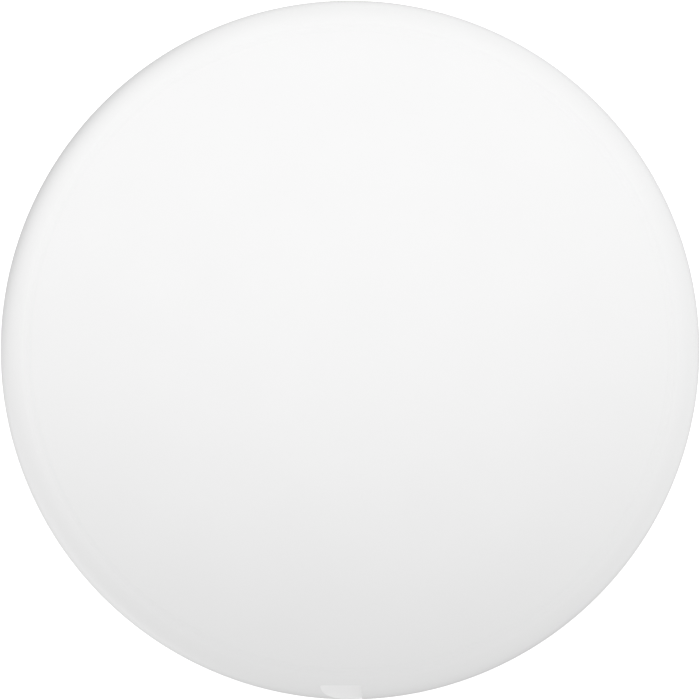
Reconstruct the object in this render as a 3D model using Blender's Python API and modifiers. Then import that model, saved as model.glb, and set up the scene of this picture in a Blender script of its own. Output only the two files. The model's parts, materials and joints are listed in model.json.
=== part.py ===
"""Bluetooth tracker tag: a round coin-cell tag in two white shells, lying flat with its battery cover on top.

Metres, +Z up. The origin is the middle of the flat underside. The press-fit battery cover is the top shell,
and the pry notch in its rim is at -Y. Below it are the cell, the frame that holds the cell, the circuit board
and the sounder. The push button is in the middle of the underside.
"""

import math

import bmesh
import bpy
from mathutils import Matrix

MM = 0.001

# Whole tag
TAG_RADIUS = 16.0 * MM
TAG_HEIGHT = 8.0 * MM
SEAM_HEIGHT = 5.6 * MM
SEAM_GAP = 0.05 * MM
FACE_WALL = 0.9 * MM
INNER_RADIUS = 14.8 * MM
FIT_GAP = 0.03 * MM
SHELL_SEGMENTS = 64
MIDDLE_SEGMENTS = 32
SMALL_SEGMENTS = 16

# Top face: a low dome that meets the rounded edge at a faint crease
SHOULDER_RADIUS = 14.85 * MM
DOME_RISE = 0.25 * MM
CREASE_ANGLE = math.radians(8)
SEAM_FILLET = 0.12 * MM

# Pry notch in the cover's rounded edge: its floor falls to the right and outwards. A pocket in the base's rim
# lies under it.
NOTCH_RADIUS = 15.16 * MM
NOTCH_LEFT = -1.36 * MM
NOTCH_RIGHT = 0.56 * MM
NOTCH_TOP = 7.65 * MM
NOTCH_DROP_ACROSS = 0.42
NOTCH_DROP_OUT = 0.5
PRY_POCKET = (1.6 * MM, 0.7 * MM, 0.35 * MM)

# Plug skirt of the cover, with its sealing ring and snap bead
SKIRT_RADIUS = 14.62 * MM
SKIRT_WALL = 0.67 * MM
SKIRT_BOTTOM = 4.2 * MM
SEAL_RADIUS = 14.585 * MM
SEAL_SECTION = 0.2 * MM
SEAL_HEIGHT = 5.2 * MM
GROOVE_DEPTH = 0.25 * MM
GROOVE_HALF = 0.25 * MM
BEAD_HEIGHT = 4.6 * MM
BEAD_RADIUS = 14.78 * MM
BEAD_GROOVE_RADIUS = 14.95 * MM

# Lower shell
BASE_EDGE_RADIUS = 1.6 * MM
FLOOR_FILLET = 0.8 * MM
DIMPLE_RADIUS = 4.6 * MM
DIMPLE_DEPTH = 0.2 * MM
BOSS_CIRCLE = 12.2 * MM
BOSS_RADIUS = 1.4 * MM
BOSS_HOLE = 0.72 * MM
BOSS_ANGLES = (30, 150, 270)
REST_ANGLES = (60, 120, 210, 330)
KEY_CIRCLE = 14.2 * MM
KEY_RADIUS = 0.7 * MM
KEY_TOP = 3.4 * MM

# Circuit board
BOARD_RADIUS = 13.7 * MM
BOARD_BOTTOM = 2.3 * MM
BOARD_TOP = 3.1 * MM
BOARD_HOLE = 0.85 * MM

# Coin cell, 20 mm across and 3.2 mm thick, with its positive face up
CELL_RADIUS = 10.0 * MM
CELL_BOTTOM = 3.55 * MM
CELL_TOP = 6.75 * MM
CELL_WALL = 0.2 * MM
CELL_CRIMP = 3.78 * MM
CAP_RADIUS = 8.95 * MM
CAP_TOP = 4.7 * MM

# Battery frame
FRAME_BORE = 10.25 * MM
FRAME_RADIUS = 11.0 * MM
FRAME_BOTTOM = 3.2 * MM
FRAME_TOP = 6.2 * MM
LEDGE_RADIUS = 9.6 * MM
LEDGE_TOP = 3.7 * MM
EAR_RADIUS = 1.6 * MM
EAR_TOP = 4.1 * MM
EAR_HOLE = 0.8 * MM

# Screws, M1.4 x 3
SCREW_HEAD_RADIUS = 1.2 * MM
SCREW_HEAD_HEIGHT = 0.5 * MM
SCREW_SHANK_RADIUS = 0.65 * MM
SCREW_TIP = 1.15 * MM

# Contacts and springs
STRIP = 0.12 * MM
NEGATIVE_WIDTH = 2.4 * MM
POSITIVE_WIDTH = 3.0 * MM
POSITIVE_ANGLE = 330
SPRING_RADIUS = 0.5 * MM
SPRING_WIRE = 0.06 * MM
SPRING_TURNS = 3
SPRING_POINTS_PER_TURN = 12

# Sounder: a brass disc with a ceramic disc on it
SOUNDER_Y = 9.0 * MM
SOUNDER_RADIUS = 5.0 * MM
CERAMIC_RADIUS = 3.6 * MM
ADHESIVE_WIDTH = 0.9 * MM
ADHESIVE_THICKNESS = 0.1 * MM
DISC_THICKNESS = 0.1 * MM

# Push button in the middle of the underside, and the switch above it
BUTTON_RADIUS = 3.0 * MM
BUTTON_HOLE = 3.15 * MM
BUTTON_FLANGE_RADIUS = 3.7 * MM
BUTTON_FLANGE_TOP = 1.2 * MM
BUTTON_NUB_RADIUS = 0.7 * MM
BUTTON_NUB_TOP = 1.42 * MM
BUTTON_CHAMFER = 0.08 * MM
SWITCH_SIDE = 3.0 * MM
SWITCH_BOTTOM = 1.75 * MM
SWITCH_WELL = 1.1 * MM
SWITCH_WELL_TOP = 2.14 * MM
SWITCH_PLATE = 0.1 * MM
STEM_RADIUS = 0.65 * MM
STEM_BOTTOM = 1.45 * MM
STEM_FLANGE_RADIUS = 0.95 * MM
STEM_FLANGE = (1.78 * MM, 1.86 * MM)
DOME_LOW = 2.03 * MM
DOME_SHEET = 0.04 * MM

# Board components on the ring outside the cell: name, material, (along the ring, across it, height), angle
RING_CIRCLE = 12.35 * MM
RING_PARTS = (
    ("chip_antenna", "antenna_ceramic", (3.2, 1.6, 1.1), 90),
    ("matching_inductor", "inductor_ferrite", (1.0, 0.5, 0.5), 78),
    ("matching_capacitor_1", "capacitor_ceramic", (1.0, 0.5, 0.5), 71),
    ("matching_capacitor_2", "capacitor_ceramic", (1.0, 0.5, 0.5), 102),
    ("main_crystal", "crystal_can", (2.0, 1.6, 0.5), 58),
    ("clock_crystal", "crystal_can", (3.2, 1.5, 0.8), 122),
    ("boost_inductor", "inductor_ferrite", (2.5, 2.0, 1.2), 10),
    ("bulk_capacitor_1", "capacitor_ceramic", (3.2, 1.6, 1.2), 180),
    ("bulk_capacitor_2", "capacitor_ceramic", (3.2, 1.6, 1.2), 197),
    ("resistor_1", "resistor_black", (1.0, 0.5, 0.35), 223),
    ("resistor_2", "resistor_black", (1.0, 0.5, 0.35), 231),
    ("decoupling_capacitor_1", "capacitor_ceramic", (1.0, 0.5, 0.5), 240),
    ("decoupling_capacitor_2", "capacitor_ceramic", (1.0, 0.5, 0.5), 292),
    ("resistor_3", "resistor_black", (1.0, 0.5, 0.35), 300),
)

# Board components under the board: name, material, (along X, along Y, height), place
UNDER_PARTS = (
    ("bluetooth_chip", "chip_black", (5.0, 5.0, 0.8), (-5.2, -5.6)),
    ("motion_sensor", "chip_black", (2.0, 2.0, 0.9), (4.4, -4.2)),
    ("buzzer_driver", "chip_black", (2.9, 1.3, 1.0), (6.8, 1.2)),
    ("decoupling_capacitor_3", "capacitor_ceramic", (1.0, 0.5, 0.5), (-5.2, -1.9)),
    ("decoupling_capacitor_4", "capacitor_ceramic", (1.0, 0.5, 0.5), (-1.0, -6.0)),
    ("resistor_4", "resistor_black", (1.0, 0.5, 0.35), (4.4, -6.6)),
)

COLOURS = {  # material: (colour, roughness, metallic)
    "white_shell": ((0.90, 0.90, 0.90), 0.3, 0.0),
    "frame_plastic": ((0.09, 0.09, 0.10), 0.5, 0.0),
    "board_laminate": ((0.02, 0.16, 0.08), 0.4, 0.0),
    "cell_steel": ((0.62, 0.62, 0.62), 0.3, 1.0),
    "grommet_nylon": ((0.75, 0.78, 0.72), 0.5, 0.0),
    "lithium_metal": ((0.55, 0.56, 0.58), 0.5, 1.0),
    "cathode_pellet": ((0.03, 0.03, 0.03), 0.9, 0.0),
    "separator_paper": ((0.85, 0.85, 0.83), 0.9, 0.0),
    "contact_nickel": ((0.70, 0.67, 0.60), 0.3, 1.0),
    "screw_steel": ((0.45, 0.45, 0.47), 0.35, 1.0),
    "seal_silicone": ((0.30, 0.31, 0.33), 0.6, 0.0),
    "foam_black": ((0.04, 0.04, 0.04), 0.95, 0.0),
    "polyimide_film": ((0.60, 0.30, 0.04), 0.3, 0.0),
    "sounder_brass": ((0.72, 0.52, 0.22), 0.3, 1.0),
    "sounder_ceramic": ((0.80, 0.80, 0.78), 0.4, 0.0),
    "adhesive_foam": ((0.80, 0.80, 0.76), 0.8, 0.0),
    "chip_black": ((0.03, 0.03, 0.03), 0.5, 0.0),
    "crystal_can": ((0.75, 0.73, 0.68), 0.3, 1.0),
    "antenna_ceramic": ((0.80, 0.82, 0.84), 0.5, 0.0),
    "capacitor_ceramic": ((0.42, 0.28, 0.17), 0.5, 0.0),
    "resistor_black": ((0.04, 0.04, 0.05), 0.4, 0.0),
    "inductor_ferrite": ((0.13, 0.13, 0.14), 0.6, 0.0),
}


def clear_scene():
    for old in list(bpy.data.objects):
        bpy.data.objects.remove(old)


def collection(name):
    made = bpy.data.collections.new(name)
    bpy.context.scene.collection.children.link(made)
    return made


def material(name):
    found = bpy.data.materials.get(name)
    if found:
        return found
    colour, roughness, metallic = COLOURS[name]
    made = bpy.data.materials.new(name)
    made.use_nodes = True
    shader = made.node_tree.nodes["Principled BSDF"]
    shader.inputs["Base Color"].default_value = (*colour, 1.0)
    shader.inputs["Roughness"].default_value = roughness
    shader.inputs["Metallic"].default_value = metallic
    return made


clear_scene()
PARTS = collection("bluetooth_tracker_tag")
HELPERS = collection("cutters")


def place(obj, where):
    """Moves an object out of every collection and into this one."""
    for holder in list(obj.users_collection):
        holder.objects.unlink(obj)
    where.objects.link(obj)
    return obj


def helper(obj):
    """A solid that only cuts or joins another, and isn't part of the tag."""
    obj.hide_render = True
    obj.display_type = "WIRE"
    return place(obj, HELPERS)


def part(obj, name, finish, parent=None):
    obj.name = name
    obj.data.materials.clear()
    obj.data.materials.append(material(finish))
    obj.parent = parent
    return place(obj, PARTS)


def boolean(obj, other, operation):
    change = obj.modifiers.new(other.name, "BOOLEAN")
    change.object = helper(other)
    change.operation = operation
    change.solver = "EXACT"


def arc(centre, radius, start, end, steps):
    """Points on an arc in a profile, from one angle to another in degrees."""
    return [
        (
            centre[0] + radius * math.cos(math.radians(start + (end - start) * i / steps)),
            centre[1] + radius * math.sin(math.radians(start + (end - start) * i / steps)),
        )
        for i in range(steps + 1)
    ]


def turned(name, profile, ring=False, segments=SHELL_SEGMENTS, x=0.0, y=0.0):
    """A profile of (radius, height) points, running down its outer side, turned about Z. A ring's closes."""
    count = len(profile)
    edges = [(i, (i + 1) % count) for i in range(count if ring else count - 1)]
    mesh = bpy.data.meshes.new(name)
    mesh.from_pydata([(r, 0.0, z) for r, z in profile], edges, [])
    obj = bpy.data.objects.new(name, mesh)
    obj.location = (x, y, 0.0)
    PARTS.objects.link(obj)
    screw = obj.modifiers.new("turn", "SCREW")
    screw.steps = segments
    screw.render_steps = segments
    screw.use_merge_vertices = True
    screw.merge_threshold = 0.001 * MM
    return obj


def disc(name, radius, bottom, top, segments=SHELL_SEGMENTS, x=0.0, y=0.0):
    bpy.ops.mesh.primitive_cylinder_add(
        vertices=segments, radius=radius, depth=top - bottom, location=(x, y, (bottom + top) / 2)
    )
    obj = bpy.context.object
    obj.name = name
    return obj


def washer(name, inner, outer, bottom, top, segments=SHELL_SEGMENTS, x=0.0, y=0.0):
    profile = [(inner, top), (outer, top), (outer, bottom), (inner, bottom)]
    return turned(name, profile, ring=True, segments=segments, x=x, y=y)


def block(name, size, centre, angle=0.0):
    """A box of this size, turned by an angle in degrees about its own upright axis."""
    bpy.ops.mesh.primitive_cube_add(size=1.0, location=centre, rotation=(0.0, 0.0, math.radians(angle)))
    obj = bpy.context.object
    obj.name = name
    obj.data.transform(Matrix.Diagonal((*size, 1.0)))
    return obj


def polar(radius, angle):
    return radius * math.cos(math.radians(angle)), radius * math.sin(math.radians(angle))


def ring_block(name, size, radius, angle, bottom, top):
    """A box on a circle round Z: size is (across the circle, along it)."""
    return block(name, (*size, top - bottom), (*polar(radius, angle), (bottom + top) / 2), angle)


def prism(name, outline, width, angle=0.0):
    """An outline of (x, z) points made solid along Y, then turned about Z by an angle in degrees."""
    curve = bpy.data.curves.new(name, "CURVE")
    curve.dimensions = "2D"
    curve.fill_mode = "BOTH"
    curve.extrude = width / 2
    spline = curve.splines.new("POLY")
    spline.points.add(len(outline) - 1)
    for point, (along, up) in zip(spline.points, outline):
        point.co = (along, up, 0.0, 1.0)
    spline.use_cyclic_u = True
    drawn = bpy.data.objects.new(name + "_outline", curve)
    turn = Matrix.Rotation(math.radians(angle), 4, "Z")
    drawn.matrix_world = turn @ Matrix.Rotation(math.radians(90), 4, "X")
    PARTS.objects.link(drawn)
    graph = bpy.context.evaluated_depsgraph_get()
    mesh = bpy.data.meshes.new_from_object(drawn.evaluated_get(graph))
    shape = bmesh.new()
    shape.from_mesh(mesh)
    bmesh.ops.remove_doubles(shape, verts=shape.verts, dist=0.001 * MM)
    bmesh.ops.recalc_face_normals(shape, faces=shape.faces)
    shape.to_mesh(mesh)
    shape.free()
    obj = bpy.data.objects.new(name, mesh)
    obj.matrix_world = drawn.matrix_world.copy()
    bpy.data.objects.remove(drawn)
    PARTS.objects.link(obj)
    return obj


def strip_outline(line, thickness):
    """The outline of a bent metal strip, from its middle line."""
    upper, lower = [], []
    for i, (x, z) in enumerate(line):
        before, after = line[max(i - 1, 0)], line[min(i + 1, len(line) - 1)]
        run, rise = after[0] - before[0], after[1] - before[1]
        length = math.hypot(run, rise)
        across = (-rise / length * thickness / 2, run / length * thickness / 2)
        upper.append((x + across[0], z + across[1]))
        lower.append((x - across[0], z - across[1]))
    return upper + lower[::-1]


def axis_empty(name):
    """An empty on the tag's own axis, along which its children slide."""
    empty = bpy.data.objects.new(name, None)
    PARTS.objects.link(empty)
    return empty


# Battery cover and what comes off with it


def cover_profile():
    shoulder_height = TAG_HEIGHT - DOME_RISE
    dome_steps = 4
    dome = [
        (SHOULDER_RADIUS * i / dome_steps, TAG_HEIGHT - DOME_RISE * (i / dome_steps) ** 2)
        for i in range(dome_steps)
    ]
    edge_radius = (TAG_RADIUS - SHOULDER_RADIUS) / (1 - math.sin(CREASE_ANGLE))
    edge_centre = (TAG_RADIUS - edge_radius, shoulder_height - edge_radius * math.cos(CREASE_ANGLE))
    edge = arc(edge_centre, edge_radius, 90 - math.degrees(CREASE_ANGLE), 0, 6)
    seat = SEAM_HEIGHT + SEAM_GAP
    groove = [
        (SKIRT_RADIUS, SEAL_HEIGHT + GROOVE_HALF),
        (SKIRT_RADIUS - GROOVE_DEPTH, SEAL_HEIGHT + GROOVE_HALF),
        (SKIRT_RADIUS - GROOVE_DEPTH, SEAL_HEIGHT - GROOVE_HALF),
        (SKIRT_RADIUS, SEAL_HEIGHT - GROOVE_HALF),
    ]
    bead = [
        (SKIRT_RADIUS, BEAD_HEIGHT + 0.23 * MM),
        (BEAD_RADIUS, BEAD_HEIGHT + 0.08 * MM),
        (BEAD_RADIUS, BEAD_HEIGHT - 0.08 * MM),
        (SKIRT_RADIUS, BEAD_HEIGHT - 0.23 * MM),
    ]
    skirt_inner = SKIRT_RADIUS - SKIRT_WALL
    ceiling = TAG_HEIGHT - FACE_WALL
    ceiling_fillet = 0.4 * MM
    skirt_end = [
        (SKIRT_RADIUS, SKIRT_BOTTOM + 0.15 * MM),
        (SKIRT_RADIUS - 0.17 * MM, SKIRT_BOTTOM),
        (skirt_inner, SKIRT_BOTTOM),
        (skirt_inner, ceiling - ceiling_fillet),
        (skirt_inner - ceiling_fillet, ceiling),
    ]
    rib_outer, rib_inner, rib_depth = 9.3 * MM, 8.7 * MM, 0.25 * MM
    rib = [
        (rib_outer, ceiling),
        (rib_outer, ceiling - rib_depth),
        (rib_inner, ceiling - rib_depth),
        (rib_inner, ceiling),
    ]
    rim = [(TAG_RADIUS, seat + SEAM_FILLET), (TAG_RADIUS - SEAM_FILLET, seat), (SKIRT_RADIUS, seat)]
    return dome + edge + rim + groove + bead + skirt_end + rib + [(0.0, ceiling)]


def notch_cutter():
    """Everything above the notch's floor, up to its back wall and its right wall."""
    left, outer = NOTCH_LEFT - 0.5 * MM, TAG_RADIUS + 1.0 * MM
    floor = []
    for x, radius in ((left, NOTCH_RADIUS), (NOTCH_RIGHT, NOTCH_RADIUS), (NOTCH_RIGHT, outer), (left, outer)):
        drop = NOTCH_DROP_ACROSS * (x - NOTCH_LEFT) + NOTCH_DROP_OUT * (radius - NOTCH_RADIUS)
        floor.append((x, -radius, NOTCH_TOP - drop))
    above = [(x, y, TAG_HEIGHT + 1.0 * MM) for x, y, z in floor]
    sides = [(i + 4, (i + 1) % 4 + 4, (i + 1) % 4, i) for i in range(4)]
    mesh = bpy.data.meshes.new("notch_cutter")
    mesh.from_pydata(floor + above, [], [(0, 1, 2, 3), (7, 6, 5, 4)] + sides)
    shape = bmesh.new()
    shape.from_mesh(mesh)
    bmesh.ops.recalc_face_normals(shape, faces=shape.faces)
    shape.to_mesh(mesh)
    shape.free()
    cutter = bpy.data.objects.new("notch_cutter", mesh)
    PARTS.objects.link(cutter)
    return cutter


def make_cover(parent):
    cover = turned("battery_cover", cover_profile())
    boolean(cover, notch_cutter(), "DIFFERENCE")
    part(cover, "battery_cover", "white_shell", parent)

    bpy.ops.mesh.primitive_torus_add(
        major_radius=SEAL_RADIUS,
        minor_radius=SEAL_SECTION,
        major_segments=SHELL_SEGMENTS,
        minor_segments=6,
        location=(0.0, 0.0, SEAL_HEIGHT),
    )
    part(bpy.context.object, "sealing_ring", "seal_silicone", parent)

    ceiling = TAG_HEIGHT - FACE_WALL
    pad_thickness = 0.27 * MM
    pad_radius = 4.0 * MM
    pad = disc("cover_pad", pad_radius, ceiling - FIT_GAP - pad_thickness, ceiling - FIT_GAP, MIDDLE_SEGMENTS)
    part(pad, "cover_pad", "foam_black", parent)


# Coin cell


def make_cell(parent):
    edge, curl = 0.4 * MM, 0.25 * MM
    inside = CELL_RADIUS - CELL_WALL
    can_profile = (
        [(0.0, CELL_TOP)]
        + arc((CELL_RADIUS - edge, CELL_TOP - edge), edge, 90, 0, 3)
        + [
            (CELL_RADIUS, CELL_CRIMP + curl),
            (CELL_RADIUS - 0.15 * MM, CELL_CRIMP + 0.06 * MM),
            (CELL_RADIUS - 0.5 * MM, CELL_CRIMP),
            (CELL_RADIUS - 0.6 * MM, CELL_CRIMP + 0.14 * MM),
            (inside - 0.08 * MM, CELL_CRIMP + curl),
            (inside, CELL_CRIMP + 0.45 * MM),
            (inside, CELL_TOP - edge - 0.05 * MM),
            (inside - 0.3 * MM, CELL_TOP - CELL_WALL),
            (0.0, CELL_TOP - CELL_WALL),
        ]
    )
    part(turned("cell_can", can_profile), "cell_can", "cell_steel", parent)

    cap_edge = 0.35 * MM
    cap_inside = CAP_RADIUS - CELL_WALL
    cap_profile = (
        [
            (0.0, CELL_BOTTOM + CELL_WALL),
            (cap_inside - 0.25 * MM, CELL_BOTTOM + CELL_WALL),
            (cap_inside, CELL_BOTTOM + CELL_WALL + 0.2 * MM),
            (cap_inside, CAP_TOP),
            (CAP_RADIUS, CAP_TOP),
        ]
        + arc((CAP_RADIUS - cap_edge, CELL_BOTTOM + cap_edge), cap_edge, 0, -90, 3)
        + [(0.0, CELL_BOTTOM)]
    )
    part(turned("cell_cap", cap_profile), "cell_cap", "cell_steel", parent)

    grommet_inner, grommet_outer = CAP_RADIUS + 0.05 * MM, CELL_RADIUS - 0.65 * MM
    grommet = washer("cell_grommet", grommet_inner, grommet_outer, 3.66 * MM, 4.8 * MM)
    part(grommet, "cell_grommet", "grommet_nylon", parent)

    anode_top, separator_bottom, separator_top = 4.4 * MM, 4.45 * MM, 4.55 * MM
    anode = disc("cell_anode", 8.2 * MM, CELL_BOTTOM + CELL_WALL + FIT_GAP, anode_top, MIDDLE_SEGMENTS)
    part(anode, "cell_anode", "lithium_metal", parent)
    separator = disc("cell_separator", 8.6 * MM, separator_bottom, separator_top, MIDDLE_SEGMENTS)
    part(separator, "cell_separator", "separator_paper", parent)
    cathode = disc("cell_cathode", 9.0 * MM, 4.85 * MM, CELL_TOP - CELL_WALL - FIT_GAP, MIDDLE_SEGMENTS)
    part(cathode, "cell_cathode", "cathode_pellet", parent)


# Lower shell


def dimple_height(radius):
    """Height of the finger dimple in the underside at this distance from the middle."""
    return DIMPLE_DEPTH * (1 - (radius / DIMPLE_RADIUS) ** 2)


def base_profile():
    groove_half, groove_slope = 0.2 * MM, 0.15 * MM
    corner = arc((INNER_RADIUS - FLOOR_FILLET, FACE_WALL + FLOOR_FILLET), FLOOR_FILLET, -90, 0, 3)
    groove = [
        (INNER_RADIUS, BEAD_HEIGHT - groove_half - groove_slope),
        (BEAD_GROOVE_RADIUS, BEAD_HEIGHT - groove_half),
        (BEAD_GROOVE_RADIUS, BEAD_HEIGHT + groove_half),
        (INNER_RADIUS, BEAD_HEIGHT + groove_half + groove_slope),
    ]
    rim = [
        (INNER_RADIUS, SEAM_HEIGHT - 0.15 * MM),
        (INNER_RADIUS + 0.1 * MM, SEAM_HEIGHT),
        (TAG_RADIUS - SEAM_FILLET, SEAM_HEIGHT),
        (TAG_RADIUS, SEAM_HEIGHT - SEAM_FILLET),
    ]
    foot = arc((TAG_RADIUS - BASE_EDGE_RADIUS, BASE_EDGE_RADIUS), BASE_EDGE_RADIUS, 0, -90, 6)
    dimple_steps = 2
    step = (BUTTON_HOLE - DIMPLE_RADIUS) / dimple_steps
    radii = [DIMPLE_RADIUS + step * i for i in range(dimple_steps + 1)]
    dimple = [(radius, dimple_height(radius)) for radius in radii]
    return [(BUTTON_HOLE, FACE_WALL)] + corner + groove + rim + foot + dimple


def make_base():
    base = turned("base_shell", base_profile(), ring=True)
    root = 0.5 * MM
    stand = BOARD_BOTTOM - SEAM_GAP
    for i, angle in enumerate(BOSS_ANGLES):
        x, y = polar(BOSS_CIRCLE, angle)
        boss = disc(f"boss_{i}", BOSS_RADIUS, root, stand, SMALL_SEGMENTS, x, y)
        boolean(base, boss, "UNION")
    for i, angle in enumerate(REST_ANGLES):
        rest = ring_block(f"rest_{i}", (2.1 * MM, 1.2 * MM), 14.15 * MM, angle, root, stand)
        boolean(base, rest, "UNION")
    boolean(base, disc("key", KEY_RADIUS, root, KEY_TOP, SMALL_SEGMENTS, KEY_CIRCLE), "UNION")
    for i, angle in enumerate(BOSS_ANGLES):
        x, y = polar(BOSS_CIRCLE, angle)
        hole = disc(f"boss_hole_{i}", BOSS_HOLE, 1.0 * MM, BOARD_TOP, SMALL_SEGMENTS, x, y)
        boolean(base, hole, "DIFFERENCE")
    long, deep, high = PRY_POCKET
    pocket_x = (NOTCH_LEFT + NOTCH_RIGHT) / 2
    pocket_centre = (pocket_x, -TAG_RADIUS, SEAM_HEIGHT)
    boolean(base, block("pry_pocket", (long, 2 * deep, 2 * high), pocket_centre), "DIFFERENCE")
    part(base, "base_shell", "white_shell")


# Frame, board and screws


def make_frame():
    profile = [
        (FRAME_BORE, FRAME_TOP),
        (FRAME_RADIUS, FRAME_TOP),
        (FRAME_RADIUS, FRAME_BOTTOM),
        (LEDGE_RADIUS, FRAME_BOTTOM),
        (LEDGE_RADIUS, LEDGE_TOP),
        (FRAME_BORE, LEDGE_TOP),
    ]
    frame = turned("battery_frame", profile, ring=True)
    foot = FRAME_BOTTOM + 0.05 * MM
    for i, angle in enumerate(BOSS_ANGLES):
        x, y = polar(BOSS_CIRCLE, angle)
        boolean(frame, disc(f"ear_{i}", EAR_RADIUS, foot, EAR_TOP, SMALL_SEGMENTS, x, y), "UNION")
        web_size = (1.5 * MM, 2.4 * MM)
        web = ring_block(f"web_{i}", web_size, 11.4 * MM, angle, foot + 0.05 * MM, EAR_TOP - 0.1 * MM)
        boolean(frame, web, "UNION")
        hole = disc(f"ear_hole_{i}", EAR_HOLE, FRAME_BOTTOM - MM, EAR_TOP + MM, SMALL_SEGMENTS, x, y)
        boolean(frame, hole, "DIFFERENCE")
    above = FRAME_TOP + MM
    for name, size, radius, angle, bottom in (
        ("contact_window", (1.6, 3.6), 10.85, POSITIVE_ANGLE, 3.75),
        ("contact_passage", (1.6, 3.4), 11.25, POSITIVE_ANGLE, 2.2),
        ("pick_relief", (3.0, 5.0), 10.6, 210, 4.3),
        ("antenna_window", (3.0, 6.0), 10.6, 90, 4.6),
    ):
        box = tuple(side * MM for side in size)
        boolean(frame, ring_block(name, box, radius * MM, angle, bottom * MM, above), "DIFFERENCE")
    part(frame, "battery_frame", "frame_plastic")


def make_screws():
    for i, angle in enumerate(BOSS_ANGLES):
        x, y = polar(BOSS_CIRCLE, angle)
        seat = EAR_TOP + 0.02 * MM
        top = seat + SCREW_HEAD_HEIGHT
        profile = [
            (0.0, top),
            (SCREW_HEAD_RADIUS - 0.2 * MM, top),
            (SCREW_HEAD_RADIUS, top - 0.2 * MM),
            (SCREW_HEAD_RADIUS, seat),
            (SCREW_SHANK_RADIUS, seat),
            (SCREW_SHANK_RADIUS, SCREW_TIP + 0.2 * MM),
            (0.35 * MM, SCREW_TIP),
            (0.0, SCREW_TIP),
        ]
        screw = turned(f"frame_screw_{i + 1}", profile, segments=16, x=x, y=y)
        slot_size = (1.3 * MM, 0.28 * MM, 0.6 * MM)
        for turn in (0, 90):
            slot = block(f"recess_{i}_{turn}", slot_size, (x, y, top), angle + turn)
            boolean(screw, slot, "DIFFERENCE")
        part(screw, f"frame_screw_{i + 1}", "screw_steel")


def make_board():
    board = disc("circuit_board", BOARD_RADIUS, BOARD_BOTTOM, BOARD_TOP)
    below, above = BOARD_BOTTOM - MM, BOARD_TOP + MM
    for i, angle in enumerate(BOSS_ANGLES):
        x, y = polar(BOSS_CIRCLE, angle)
        boolean(board, disc(f"board_hole_{i}", BOARD_HOLE, below, above, SMALL_SEGMENTS, x, y), "DIFFERENCE")
    key_notch = disc("key_notch", KEY_RADIUS + 0.2 * MM, below, above, SMALL_SEGMENTS, KEY_CIRCLE)
    boolean(board, key_notch, "DIFFERENCE")
    part(board, "circuit_board", "board_laminate")

    film_bottom = BOARD_TOP + 0.02 * MM
    film = disc("insulator_film", 9.2 * MM, film_bottom, film_bottom + 0.06 * MM, MIDDLE_SEGMENTS)
    window = block("film_window", (9.4 * MM, 3.6 * MM, MM), (0.0, 0.0, BOARD_TOP))
    boolean(film, window, "DIFFERENCE")
    part(film, "insulator_film", "polyimide_film")


def make_contacts():
    low = BOARD_TOP + 0.03 * MM + STRIP / 2
    high = CELL_BOTTOM - 0.02 * MM - STRIP / 2
    half = [(1.4 * MM, low), (3.3 * MM, high - 0.06 * MM), (3.8 * MM, high), (4.3 * MM, high - 0.08 * MM)]
    line = [(-x, z) for x, z in half[::-1]] + half
    negative = prism("negative_contact", strip_outline(line, STRIP), NEGATIVE_WIDTH)
    part(negative, "negative_contact", "contact_nickel")

    touch = CELL_RADIUS + 0.05 * MM + STRIP / 2
    line = [
        (13.2 * MM, low),
        (11.6 * MM, low),
        (11.3 * MM, low + 0.1 * MM),
        (11.18 * MM, low + 0.4 * MM),
        (touch + 0.05 * MM, 5.0 * MM),
        (touch, 5.2 * MM),
        (touch + 0.06 * MM, 5.4 * MM),
        (touch + 0.45 * MM, 5.8 * MM),
    ]
    positive = prism("positive_contact", strip_outline(line, STRIP), POSITIVE_WIDTH, POSITIVE_ANGLE)
    part(positive, "positive_contact", "contact_nickel")


def make_components():
    for name, finish, size, angle in RING_PARTS:
        along, across, height = (side * MM for side in size)
        bottom = BOARD_TOP + 0.02 * MM
        made = ring_block(name, (across, along), RING_CIRCLE, angle, bottom, bottom + height)
        part(made, name, finish)
    for name, finish, size, (x, y) in UNDER_PARTS:
        top = BOARD_BOTTOM - 0.02 * MM
        box = tuple(side * MM for side in size)
        made = block(name, box, (x * MM, y * MM, top - box[2] / 2))
        part(made, name, finish)


# Sounder


def helix(x, y, bottom, top):
    count = SPRING_TURNS * SPRING_POINTS_PER_TURN
    for i in range(count + 1):
        turn = 2 * math.pi * i / SPRING_POINTS_PER_TURN
        climb = bottom + (top - bottom) * i / count
        yield x + SPRING_RADIUS * math.cos(turn), y + SPRING_RADIUS * math.sin(turn), climb


def make_spring(name, x, bottom):
    curve = bpy.data.curves.new(name, "CURVE")
    curve.dimensions = "3D"
    curve.bevel_depth = SPRING_WIRE
    curve.bevel_resolution = 2
    curve.use_fill_caps = True
    clear = SPRING_WIRE + 0.04 * MM
    points = list(helix(x, SOUNDER_Y, bottom + clear, BOARD_BOTTOM - clear))
    spline = curve.splines.new("POLY")
    spline.points.add(len(points) - 1)
    for point, at in zip(spline.points, points):
        point.co = (*at, 1.0)
    part(bpy.data.objects.new(name, curve), name, "screw_steel")


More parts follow.
